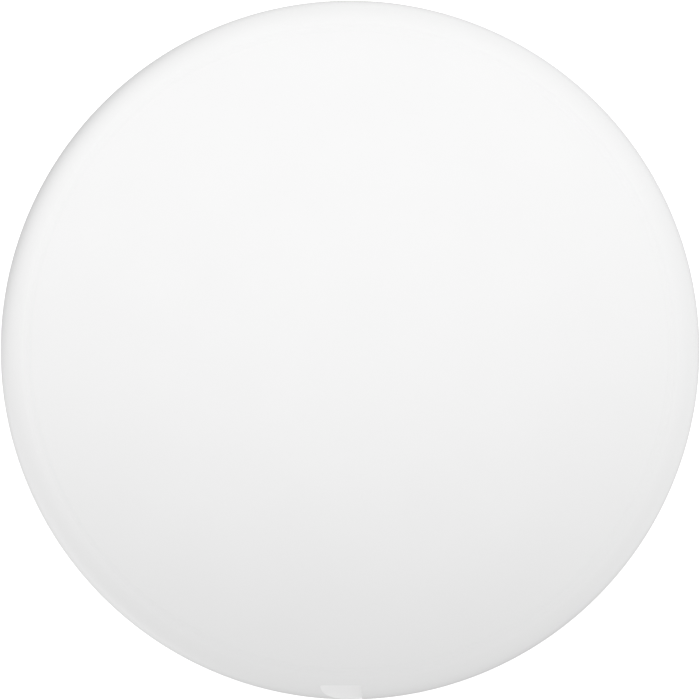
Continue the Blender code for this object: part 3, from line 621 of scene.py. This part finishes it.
def plus_outline(size, arm):
    """The twelve corners of a plus sign."""
    a, b = arm / 2, size / 2
    quarter = [(b, -a), (b, a), (a, a)]
    turns = [(1, 0, 0, 1), (0, -1, 1, 0), (-1, 0, 0, -1), (0, 1, -1, 0)]
    return [(x * p + y * q, x * r + y * s) for p, q, r, s in turns for x, y in quarter]


def make_cell():
    """Can, cap, grommet and the three discs inside. The can's top carries a pressed plus."""
    low, high = span("cell_can")
    outer, top, crimp = high.x, high.z, low.z
    inside = outer - 0.2
    face = [(0, top, 0), (9.25, top, 0.05), (9.35, top - 0.03, 0.04), (outer, top - 0.03, 0.4)]
    crimped = [(outer, crimp + 0.25, 0.1), (outer - 0.15, crimp + 0.06, 0.08), (outer - 0.5, crimp, 0.05),
               (outer - 0.6, crimp + 0.14, 0.03), (inside - 0.08, crimp + 0.25, 0.05)]
    hollow = [(inside, crimp + 0.45, 0), (inside, top - 0.2, 0.35), (0, top - 0.2, 0)]
    can = turned(rounded(face + crimped + hollow))
    tool = prism(plus_outline(3.2, 0.55), top - 0.06, top + 1, edge=0.02)
    can = combined(can, (CUT, tool))
    piece("cell_can_steel", can, ["cell_can"], "cell_steel")

    low, high = span("cell_cap")
    outer, wall = high.x, 0.2
    hollow = [(0, low.z + wall, 0), (outer - wall, low.z + wall, 0.25), (outer - wall, high.z, 0.04)]
    outside = [(outer, high.z, 0.04), (outer, low.z, 0.35), (8.0, low.z, 0.08), (7.85, low.z + 0.04, 0.08),
               (0, low.z + 0.04, 0)]
    piece("cell_cap_steel", turned(rounded(hollow + outside)), ["cell_cap"], "cell_steel")

    low, high = span("cell_grommet")
    inner = span("cell_cap")[1].x + 0.05
    ring = washer(inner, high.x, low.z, high.z, 0.06, FINE)
    piece("cell_grommet_ring", ring, ["cell_grommet"], "grommet_nylon")

    for name, edge in (("cell_anode", 0.05), ("cell_separator", 0.02), ("cell_cathode", 0.12)):
        low, high = span(name)
        body = disc(high.x, low.z, high.z, edge)
        piece(name + "_disc", body, [name], SLOT_OF[name])


# ---- frame, screws and contacts


def sector_block(size, radius, angle, low, high, edge=0.0):
    """A box across a circle round Z: size is (across the circle, along it)."""
    centre = (*polar(radius, angle), (low + high) / 2)
    return box((*size, high - low), centre, edge, angle)


def make_frame():
    """A ring round the cell with an ear for each screw, and gaps for the contact and for a fingertip."""
    low, high = span("battery_frame")
    foot, top, ear_top = low.z, high.z, 4.1
    corners = [(10.25, top, 0.15), (11.0, top, 0.1), (11.0, foot, 0.08), (9.6, foot, 0.08), (9.6, 3.7, 0.08),
               (10.25, 3.7, 0.04)]
    ring = turned(rounded(corners, closed=True, steps=3), 144, closed=True)
    steps = []
    for angle in BOSS_ANGLES:
        centre = polar(BOSS_CIRCLE, angle)
        steps.append((ADD, disc(1.6, foot + 0.05, ear_top, 0.08, SMALL, centre)))
        steps.append((ADD, sector_block((1.5, 2.4), 11.4, angle, foot + 0.1, ear_top - 0.1, 0.05)))
        steps.append(hole(0.8, foot, ear_top, centre))
    gaps = [((1.6, 3.6), 10.85, 330, 3.75, 0.05), ((1.6, 3.4), 11.25, 330, foot - 1, 0.05),
            ((3.0, 5.0), 10.6, 210, 4.3, 0.3), ((3.0, 6.0), 10.6, 90, 4.6, 0.3)]
    for size, radius, angle, floor, edge in gaps:
        steps.append((CUT, sector_block(size, radius, angle, floor, top + 1, edge)))
    for angle in range(0, 360, 60):
        steps.append((CUT, sector_block((0.3, 1.8), 11.1, angle, foot - 1, 5.4, 0.04)))
    piece("battery_frame_moulding", combined(ring, *steps), ["battery_frame"], "frame_plastic")


THREAD_PITCH, THREAD_DEPTH = 0.3, 0.07
HEAD_RADIUS, SHANK_RADIUS = 1.2, 0.62


def make_screw(number, angle):
    """A screw with a rounded head, a plus-shaped recess and a helical thread."""
    node = f"frame_screw_{number}"
    low, high = span(node)
    centre = polar(BOSS_CIRCLE, angle)
    seat = high.z - 0.5
    head = rounded([(0, high.z, 0), (HEAD_RADIUS, high.z, 0.22), (HEAD_RADIUS, seat, 0.04),
                    (SHANK_RADIUS, seat, 0.03)])
    steps = round((seat - low.z - 0.35) / THREAD_PITCH * 8)
    shank = [(SHANK_RADIUS, seat - 0.05 - (seat - low.z - 0.4) * i / steps) for i in range(steps + 1)]
    tip = [(0.35, low.z + 0.05), (0.3, low.z), (0, low.z)]

    def thread(around, radius, height):
        if radius != SHANK_RADIUS or height >= seat:
            return 0.0
        turn = (height / THREAD_PITCH - around / (2 * math.pi)) % 1.0
        return -THREAD_DEPTH * abs(2 * turn - 1)

    screw = turned(head + shank + tip, SMALL, centre=centre, wave=thread)
    recess = prism(plus_outline(1.3, 0.3), high.z - 0.3, high.z + 1, edge=0.03)
    recess = turned_by(recess, spin(angle + 12 * number), Matrix.Translation((*centre, 0.0)))
    piece(f"{node}_threaded", combined(screw, (CUT, recess)), [node], "screw_steel")


def strip(line, thickness, width, steps=4):
    """A metal strip bent along a line of (x, z, bend radius) points, in the plane of X and Z."""
    path = [Vector(p) for p in rounded(line, steps=steps)]
    upper, lower = [], []
    for i, point in enumerate(path):
        along = (path[min(i + 1, len(path) - 1)] - path[max(i - 1, 0)]).normalized()
        across = Vector((-along.y, along.x)) * thickness / 2
        upper.append(point + across)
        lower.append(point - across)
    return turned_by(
        prism([tuple(p) for p in upper + lower[::-1]], -width / 2, width / 2),
        Matrix.Rotation(math.radians(90), 4, "X"),
    )


def make_contacts():
    """The leaf under the cell and the tongue at its side."""
    low, high = span("negative_contact")
    base, top = low.z + 0.06, high.z - 0.06
    half = [(1.4, base, 0.8), (3.1, top - 0.06, 0.5), (3.8, top, 0.5), (4.3, top - 0.1, 0)]
    line = [(-x, z, bend) for x, z, bend in half[::-1]] + half
    leaf = strip(line, 0.12, 2.4)
    slits = [(CUT, box((2.0, 0.25, 2.0), (side * 3.2, 0, base), 0.05)) for side in (-1, 1)]
    shape = combined(leaf, hole(0.35, base, base), *slits)
    piece("negative_contact_leaf", shape, ["negative_contact"], "contact_nickel")

    low, high = span("positive_contact")
    base = low.z + 0.06
    touch = 10.11
    line = [(13.2, base, 0), (11.45, base, 0.15), (11.18, base + 0.4, 0.3), (touch + 0.08, 4.8, 0.4),
            (touch, 5.2, 0.3), (touch + 0.45, high.z - 0.04, 0)]
    leaf = strip(line, 0.12, 3.0)
    slits = [(CUT, box((1.2, 0.3, 1.5), (10.4, side * 0.5, 5.4), 0.05)) for side in (-1, 1)]
    leaf = combined(leaf, *slits, hole(0.3, base, base, (12.5, 0.0)))
    shape = turned_by(leaf, spin(330))
    piece("positive_contact_leaf", shape, ["positive_contact"], "contact_nickel")


# ---- circuit board

COPPER = 0.012
VIA_CIRCLE = 13.42
BITE_ANGLES = (40, 100, 165, 250, 310)
# each trace's radius, and the angles it runs from and to
TRACES = (
    (11.25, 40, 76), (11.25, 104, 140), (11.5, 46, 70), (13.0, 128, 140), (11.3, 186, 192),
    (11.45, 206, 255), (11.25, 160, 172), (13.15, 204, 236), (11.4, 285, 318), (11.65, 290, 316),
    (13.1, 284, 312), (11.35, 342, 355), (11.2, 16, 22),
)


def flat_arc(radius, start, end, width, low, high):
    """A flat strip on the board that follows a circle."""
    count = max(int(abs(end - start) / 2), 2)
    outer = list(arc((0, 0), radius + width / 2, start, end, count))
    inner = list(arc((0, 0), radius - width / 2, end, start, count))
    return prism(outer + inner, low, high)


def board_shape(low, high):
    """The laminate, with screw holes, the key's notch and the bites that its panel's tabs left."""
    plate = disc(high.x, low.z, high.z, 0.03, FINE)
    steps = [hole(0.85, low.z, high.z, polar(BOSS_CIRCLE, angle)) for angle in BOSS_ANGLES]
    steps.append(hole(0.9, low.z, high.z, (KEY_CIRCLE, 0.0)))
    steps += [hole(0.35, low.z, high.z, polar(13.8, angle)) for angle in BITE_ANGLES]
    board = combined(plate, *steps)
    for face in board.faces:
        if abs(face.normal.z) < 0.5:
            face.material_index = 1
    return board


def make_board():
    """Laminate, copper and the film that keeps the cell off them."""
    low, high = span("circuit_board")
    laminate = board_shape(low, high)
    piece("circuit_board_laminate", laminate, ["circuit_board"], "board_laminate", "board_edge")
    top = high.z
    runs = [(flat_arc(radius, start, end, 0.13, top, top + COPPER), 0) for radius, start, end in TRACES]
    for radius, start, end in TRACES:
        for angle in (start, end):
            at = polar(radius, angle)
            runs.append((washer(0.09, 0.2, top, top + COPPER + 0.003, 0, 16, at), 1))
    clear_of = (0, 60, 90, 120, *BOSS_ANGLES, *BITE_ANGLES)
    for angle in range(0, 360, 6):
        if all(abs((angle - other + 180) % 360 - 180) > 4 for other in clear_of):
            runs.append((washer(0.08, 0.18, top, top + COPPER, 0, 16, polar(VIA_CIRCLE, angle)), 1))
    for angle in BOSS_ANGLES:
        runs.append((washer(0.95, 1.75, top, top + COPPER, 0, SMALL, polar(BOSS_CIRCLE, angle)), 1))
    piece("circuit_board_copper", joined(*runs), ["circuit_board"], "board_laminate", "gold_pad")

    low, high = span("insulator_film")
    film = disc(high.x, low.z, high.z, 0.01, FINE)
    window = box((9.4, 3.6, 1.0), (0, 0, low.z), 0.3)
    film = combined(film, (CUT, window))
    piece("insulator_film_sheet", film, ["insulator_film"], "polyimide_film")


# ---- board components

# Each of these builds a component lying along X at the origin, standing on Z = 0.


def two_ended(long, wide, tall, end, edge):
    """Body and two tinned ends of a chip component."""
    core = box((long - 2 * end + 0.02, wide - 0.03, tall - 0.03), (0, 0, tall / 2), edge * 0.6)
    shapes = [(core, 0)]
    for side in (-1, 1):
        cap = box((end, wide, tall), (side * (long - end) / 2, 0, tall / 2), edge)
        shapes.append((cap, 1))
    return shapes


def capacitor(long, wide, tall):
    return joined(*two_ended(long, wide, tall, long * 0.22, tall * 0.1)), ("capacitor_ceramic", "solder")


def resistor(long, wide, tall):
    shapes = two_ended(long, wide, tall - 0.03, long * 0.2, 0.03)
    glaze = box((long * 0.56, wide - 0.06, 0.06), (0, 0, tall - 0.03), 0.02)
    return joined(*shapes, (glaze, 2)), ("alumina", "solder", "resistor_black")


def small_inductor(long, wide, tall):
    shapes = two_ended(long, wide, tall, long * 0.2, tall * 0.1)
    stripe = box((long * 0.08, wide * 0.7, 0.03), (long * 0.12, 0, tall - 0.02), 0.008)
    return joined(*shapes, (stripe, 2)), ("inductor_ferrite", "solder", "alumina")


def power_inductor(long, wide, tall):
    """A shielded coil: a ferrite body with cut corners and a round core in its top."""
    a, b, cut = long / 2, wide / 2, 0.35
    outline = [(a - cut, -b), (a, -b + cut), (a, b - cut), (a - cut, b), (-a + cut, b), (-a, b - cut),
               (-a, -b + cut), (-a + cut, -b)]
    body = prism(outline, 0.06, tall - 0.06, edge=0.05)
    well = washer(b * 0.62, b * 0.8, tall - 0.3, tall + 1, 0, SMALL)
    body = combined(body, (CUT, well))
    core = disc(b * 0.6, tall - 0.2, tall, 0.04, SMALL)
    feet = [(box((0.5, wide * 0.9, 0.12), (side * (a - 0.25), 0, 0.06), 0.03), 1) for side in (-1, 1)]
    return joined((body, 0), (core, 0), *feet), ("inductor_ferrite", "solder")


def crystal(long, wide, tall):
    """A metal lid on a ceramic tray with a pad at each corner."""
    tray = box((long, wide, tall * 0.55), (0, 0, tall * 0.275), 0.05)
    rim = box((long - 0.12, wide - 0.12, tall * 0.2), (0, 0, tall * 0.6), 0.03)
    lid = box((long - 0.24, wide - 0.24, tall * 0.36), (0, 0, tall * 0.82), tall * 0.12, steps=3)
    pads = []
    for x in (-1, 1):
        for y in (-1, 1):
            centre = (x * (long / 2 - 0.2), y * (wide / 2 - 0.17), 0.03)
            pads.append((box((0.42, 0.36, 0.08), centre, 0.015), 1))
    return joined((tray, 2), (rim, 1), (lid, 0), *pads), ("crystal_can", "gold_pad", "alumina")


def antenna(long, wide, tall):
    """A ceramic bar with a silver meander on its top and plated ends."""
    shapes = [(box((long, wide, tall - 0.02), (0, 0, tall / 2 - 0.01), 0.06), 0)]
    for side in (-1, 1):
        shapes.append((box((0.42, wide, tall), (side * (long / 2 - 0.21), 0, tall / 2), 0.06), 1))
    pitch, line, reach = 0.36, 0.12, wide - 0.4
    count = 6
    for i in range(count + 1):
        x = (i - count / 2) * pitch
        shapes.append((box((line, reach, 0.03), (x, 0, tall - 0.014), 0.006), 1))
        if i < count:
            y = (reach - line) / 2 * (1 if i % 2 else -1)
            shapes.append((box((pitch, line, 0.028), (x + pitch / 2, y, tall - 0.014), 0.006), 1))
    return joined(*shapes), ("antenna_ceramic", "solder")


def packaged_chip(long, wide, tall, per_side, pitch):
    """A moulded chip with plated lands round its foot and a dimple at pin one."""
    body = box((long, wide, tall - 0.03), (0, 0, (tall + 0.03) / 2), 0.03)
    dimple = disc(0.22, tall - 0.04, tall + 1, 0.02, SMALL, (-long / 2 + 0.5, -wide / 2 + 0.45))
    shapes = [(combined(body, (CUT, dimple)), 0)]
    for side in (-1, 1):
        for i in range(per_side):
            shift = (i - (per_side - 1) / 2) * pitch
            lands = [((pitch * 0.5, 0.34, 0.16), (shift, side * (wide / 2 - 0.165), 0.08))]
            if long == wide:
                lands.append(((0.34, pitch * 0.5, 0.16), (side * (long / 2 - 0.165), shift, 0.08)))
            shapes.extend((box(size, centre, 0.01, steps=1), 1) for size, centre in lands)
    if per_side > 4:
        shapes.append((box((long * 0.66, wide * 0.66, 0.06), (0, 0, 0.03), 0.02), 1))
    return joined(*shapes), ("chip_black", "solder")


BUILDERS = {
    "chip_antenna": antenna,
    "matching_inductor": small_inductor,
    "boost_inductor": power_inductor,
    "main_crystal": crystal,
    "clock_crystal": crystal,
    "bulk_capacitor": capacitor,
    "matching_capacitor": capacitor,
    "decoupling_capacitor": capacitor,
    "resistor": resistor,
    "bluetooth_chip": partial(packaged_chip, per_side=8, pitch=0.5),
    "motion_sensor": partial(packaged_chip, per_side=3, pitch=0.5),
    "buzzer_driver": partial(packaged_chip, per_side=3, pitch=0.95),
}


def size_along(node, angle):
    """Length, width and height of a CAD node that was turned about Z by an angle in degrees."""
    turn = Matrix.Rotation(math.radians(-angle), 3, "Z")
    points = [turn @ vertex.co / MM for vertex in frame["nodes"][node].data.vertices]
    return [max(p[axis] for p in points) - min(p[axis] for p in points) for axis in range(3)]


def make_components():
    """Parts on top of the board follow its edge, and parts under it lie square and hang from it."""
    for node in sorted(frame["nodes"]):
        kind = node.rstrip("_0123456789")
        if kind not in BUILDERS:
            continue
        low, high = span(node)
        place = middle(node)
        on_top = place.z > middle("circuit_board").z
        angle = math.degrees(math.atan2(place.y, place.x)) + 90 if on_top else 0.0
        shape, finishes = BUILDERS[kind](*size_along(node, angle))
        if on_top:
            turn = spin(angle)
            foot = low.z
        else:
            turn = Matrix.Rotation(math.pi, 4, "X")
            foot = high.z
        shape = turned_by(shape, turn, Matrix.Translation((place.x, place.y, foot)))
        piece(node + "_body", shape, [node], *finishes)


# ---- sounder and switch

SPRING_WIRE, SPRING_RADIUS, SPRING_TURNS = 0.06, 0.5, 3


def coil(centre, low, high, wire, radius, turns, around=12, per_turn=40):
    """A helical spring as a closed tube."""
    shape = bmesh.new()
    rings = []
    count = turns * per_turn
    for i in range(count + 1):
        angle = 2 * math.pi * i / per_turn
        outward = Vector((math.cos(angle), math.sin(angle), 0))
        height = low + wire + (high - low - 2 * wire) * i / count
        middle_point = Vector((*centre, height)) + outward * radius
        ring = []
        for k in range(around):
            turn = 2 * math.pi * k / around
            off_middle = outward * wire * math.cos(turn) + UP * wire * math.sin(turn)
            ring.append(shape.verts.new(middle_point + off_middle))
        rings.append(ring)
    for a, b in zip(rings, rings[1:]):
        for k in range(around):
            n = (k + 1) % around
            shape.faces.new((a[k], b[k], b[n], a[n]))
    shape.faces.new(rings[0])
    shape.faces.new(rings[-1][::-1])
    bmesh.ops.recalc_face_normals(shape, faces=shape.faces)
    return shape


def make_sounder():
    """Adhesive ring, brass plate, silvered ceramic and two springs that reach up to the board."""
    low, high = span("sounder_adhesive")
    centre = tuple(middle("sounder_plate").xy)
    outer = span("sounder_plate")[1].x
    glue = washer(outer - 0.9, outer, low.z, high.z, 0.02, centre=centre)
    piece("sounder_adhesive_ring", glue, ["sounder_adhesive"], "adhesive_foam")
    low, high = span("sounder_plate")
    plate = disc(outer, low.z, high.z, 0.02, centre=centre)
    piece("sounder_plate_disc", plate, ["sounder_plate"], "sounder_brass")
    low, high = span("sounder_ceramic")
    ceramic = disc(high.x, low.z, high.z - 0.01, 0.02, centre=centre)
    silver = disc(high.x - 0.3, high.z - 0.012, high.z, 0.004, centre=centre)
    shape = joined((ceramic, 0), (silver, 1))
    piece("sounder_ceramic_disc", shape, ["sounder_ceramic"], "sounder_ceramic", "solder")
    for number in (1, 2):
        node = f"sounder_spring_{number}"
        low, high = span(node)
        where = ((low.x + high.x) / 2, centre[1])
        wound = coil(where, low.z, high.z, SPRING_WIRE, SPRING_RADIUS, SPRING_TURNS)
        piece(f"{node}_coil", wound, [node], "gold_pad")


def make_switch():
    """Body with four pads, plate, dome and stem, each round the button's axis."""
    low, high = span("switch_body")
    side = high.x - low.x
    foot_height = 0.03
    body_top = high.z - foot_height
    body = box((side, side, body_top - low.z), (0, 0, (low.z + body_top) / 2), 0.06)
    body = combined(body, (CUT, disc(1.1, low.z - 1, 2.14, 0, SMALL)))
    feet = []
    for x in (-1, 1):
        for y in (-1, 1):
            feet.append((box((0.5, 0.5, 0.1), (x * 1.2, y * 1.1, high.z - 0.05), 0.02), 1))
    piece("switch_body_moulding", joined((body, 0), *feet), ["switch_body"], "chip_black", "solder")

    low, high = span("switch_plate")
    side = high.x - low.x
    plate = box((side, side, high.z - low.z), (0, 0, (low.z + high.z) / 2), 0.03)
    plate = combined(plate, hole(0.75, low.z, high.z))
    piece("switch_plate_stamping", plate, ["switch_plate"], "crystal_can")

    low, high = span("switch_dome")
    rise, sheet = high.z - low.z - 0.04, 0.04
    bowl = [(i / 12, low.z + rise * (i / 12) ** 2) for i in range(13)]
    profile = [(r, z + sheet) for r, z in bowl] + bowl[::-1]
    piece("switch_dome_spring", turned(profile, MIDDLE), ["switch_dome"], "crystal_can")

    low, high = span("switch_stem")
    corners = [(0, high.z, 0), (0.95, high.z, 0.03), (0.95, high.z - 0.08, 0.03), (0.65, high.z - 0.08, 0.02),
               (0.65, low.z, 0.08), (0, low.z, 0)]
    piece("switch_stem_post", turned(rounded(corners), MIDDLE), ["switch_stem"], "chip_black")


# ---- studio

LENS, SENSOR = 100.0, 36.0
# the tag's outline as the camera sees it, and the part of the frame's width that it fills
OUTLINE_RADIUS, OUTLINE_HEIGHT = 15.98, 6.66
FILL_OF_FRAME = 0.9986


def make_camera():
    data = bpy.data.cameras.new("camera")
    data.lens, data.sensor_width = LENS, SENSOR
    data.clip_start, data.clip_end = 0.005, 10.0
    half = SENSOR / 2 / LENS
    camera = put_in_scene("camera", data)
    camera.location = (0.0, 0.0, (OUTLINE_HEIGHT + OUTLINE_RADIUS / (half * FILL_OF_FRAME)) * MM)
    bpy.context.scene.camera = camera


def ramp(tree, value, start, end, first, last):
    """A smooth step from one level to another as a value goes from start to end."""
    limits = {"Value": value, "From Min": start, "From Max": end, "To Min": first, "To Max": last}
    return add(tree, "ShaderNodeMapRange", limits, interpolation_type="SMOOTHSTEP").outputs["Result"]


# height of a direction, from straight down to straight up, and the light that comes from there
SKY = ((-1.0, 0.35), (-0.35, 1.08), (0.0, 0.95), (1.0, 0.63))
# cards low down round the tag: azimuth and elevation in degrees, and the share of the light that each
# takes away, or adds where it's negative
CARDS = ((150, -20, 0.8), (282, -30, 0.45), (212, -28, -0.45), (335, -28, -0.25), (85, -28, -0.15))
# cosine of the angle from a card's middle at which it starts, and at which it's at its full
CARD_EDGE, CARD_CORE = 0.75, 0.95


def make_world():
    """White light that is even above, fuller near the ground and weak from straight below.

    The cards lie low, so they darken or lighten the tag's rounded edge and hardly reach its face.
    """
    world = bpy.data.worlds.new("studio")
    bpy.context.scene.world = world
    world.use_nodes = True
    tree = world.node_tree
    direction = add(tree, "ShaderNodeTexCoord").outputs["Generated"]
    height = add(tree, "ShaderNodeSeparateXYZ", {"Vector": direction}).outputs["Z"]
    curve = add(tree, "ShaderNodeFloatCurve", {"Value": height})
    mapping = curve.mapping
    mapping.clip_min_x, mapping.clip_min_y, mapping.clip_max_y = -1.0, 0.0, 2.0
    line = mapping.curves[0]
    for place in SKY[1:-1]:
        line.points.new(*place)
    for point, place in zip(line.points, SKY):
        point.location = place
        point.handle_type = "VECTOR"
    mapping.update()
    strength = curve.outputs["Value"]
    for azimuth, elevation, share in CARDS:
        aim = (*polar(math.cos(math.radians(elevation)), azimuth), math.sin(math.radians(elevation)))
        toward = add(tree, "ShaderNodeVectorMath", {0: direction, 1: aim}, operation="DOT_PRODUCT")
        shade = ramp(tree, toward.outputs["Value"], CARD_EDGE, CARD_CORE, 1.0, 1.0 - share)
        shaded = add(tree, "ShaderNodeMath", {0: strength, 1: shade}, operation="MULTIPLY")
        strength = shaded.outputs["Value"]
    background = tree.nodes["Background"]
    background.inputs["Color"].default_value = (1.0, 1.0, 1.0, 1.0)
    tree.links.new(strength, background.inputs["Strength"])


KEY_PLACE = (0.0, 0.0375, 0.6)
KEY_CONE, KEY_BLEND = 12.6, 0.8
KEY_POWER = 6.5


def make_lights():
    """A spot above the tag whose soft edge falls across it, so the face darkens from +Y to -Y."""
    data = bpy.data.lights.new("feathered_key", "SPOT")
    data.energy = KEY_POWER
    data.spot_size = math.radians(KEY_CONE)
    data.spot_blend = KEY_BLEND
    data.shadow_soft_size = 0.01
    key = put_in_scene("feathered_key", data)
    key.location = KEY_PLACE
    key.visible_camera = False
    key.visible_glossy = False


# the floor's even tone far out; close to the tag, its painted pool of light: a glow, and its own whiteness
# there
FAR_TONE = 0.72
NEAR_GLOW, NEAR_ALBEDO = 0.55, 0.82
# radii in metres: between the first two the glow is held back at the tag's foot, a painted contact shadow;
# between the last two the painted pool of light gives way to the far tone
PAINTED_SHADOW_START, PAINTED_SHADOW_END = 0.0160, 0.0172
POOL_START, POOL_END = 0.025, 0.090


def make_floor():
    """A pale floor: a painted pool of light glows white close round the tag, with a painted contact shadow at
    the tag's foot, and it settles to the backdrop's even tone further out.
    """
    shape = bmesh.new()
    bmesh.ops.create_circle(shape, cap_ends=True, segments=96, radius=1.8)
    finish, tree = new_finish("floor")
    place = add(tree, "ShaderNodeTexCoord").outputs["Object"]
    distance = add(tree, "ShaderNodeVectorMath", {0: place}, operation="LENGTH").outputs["Value"]
    # no glow at the tag's foot, rising just outside it: a painted contact shadow
    contact = ramp(tree, distance, PAINTED_SHADOW_START, PAINTED_SHADOW_END, 0.0, NEAR_GLOW)
    # the painted pool of light round the tag fades into the far tone
    pool = ramp(tree, distance, POOL_START, POOL_END, 0.0, 1.0)
    far = ramp(tree, pool, 0.0, 1.0, 0.0, FAR_TONE)
    fade = ramp(tree, pool, 0.0, 1.0, 1.0, 0.0)
    near = add(tree, "ShaderNodeMath", {0: contact, 1: fade}, operation="MULTIPLY")
    glow = add(tree, "ShaderNodeMath", {0: near.outputs["Value"], 1: far}, operation="ADD")
    shader = tree.nodes["Principled BSDF"]
    tree.links.new(ramp(tree, pool, 0.0, 1.0, NEAR_ALBEDO, 0.0), shader.inputs["Base Color"])
    tree.links.new(glow.outputs["Value"], shader.inputs["Emission Strength"])
    shader.inputs["Emission Color"].default_value = (1.0, 1.0, 1.0, 1.0)
    shader.inputs["Roughness"].default_value = 1.0
    shader.inputs["Specular IOR Level"].default_value = 0.0
    floor = mesh_object("floor", shape)
    floor.data.materials.append(finish)
    floor.location.z = -0.02 * MM
    floor.visible_diffuse = False
    floor.visible_glossy = False


def make_backdrop():
    """A sphere round the scene in the floor's far tone, which only the camera sees."""
    shape = bmesh.new()
    bmesh.ops.create_uvsphere(shape, u_segments=48, v_segments=24, radius=1.9)
    bmesh.ops.reverse_faces(shape, faces=shape.faces)
    finish, tree = new_finish("backdrop")
    glow = add(tree, "ShaderNodeEmission", {"Color": (1.0, 1.0, 1.0, 1.0), "Strength": FAR_TONE})
    tree.links.new(glow.outputs["Emission"], tree.nodes["Material Output"].inputs["Surface"])
    backdrop = mesh_object("backdrop", shape)
    backdrop.data.materials.append(finish)
    for ray in ("diffuse", "glossy", "transmission", "volume_scatter", "shadow"):
        setattr(backdrop, "visible_" + ray, False)


make_cover()
make_seal()
make_cover_pad()
make_base()
make_button()
make_cell()
make_frame()
for screw_number, screw_angle in enumerate(BOSS_ANGLES, 1):
    make_screw(screw_number, screw_angle)
make_contacts()
make_board()
make_components()
make_sounder()
make_switch()
make_camera()
make_world()
make_lights()
make_floor()
make_backdrop()
bpy.context.scene.view_settings.view_transform = "Standard"
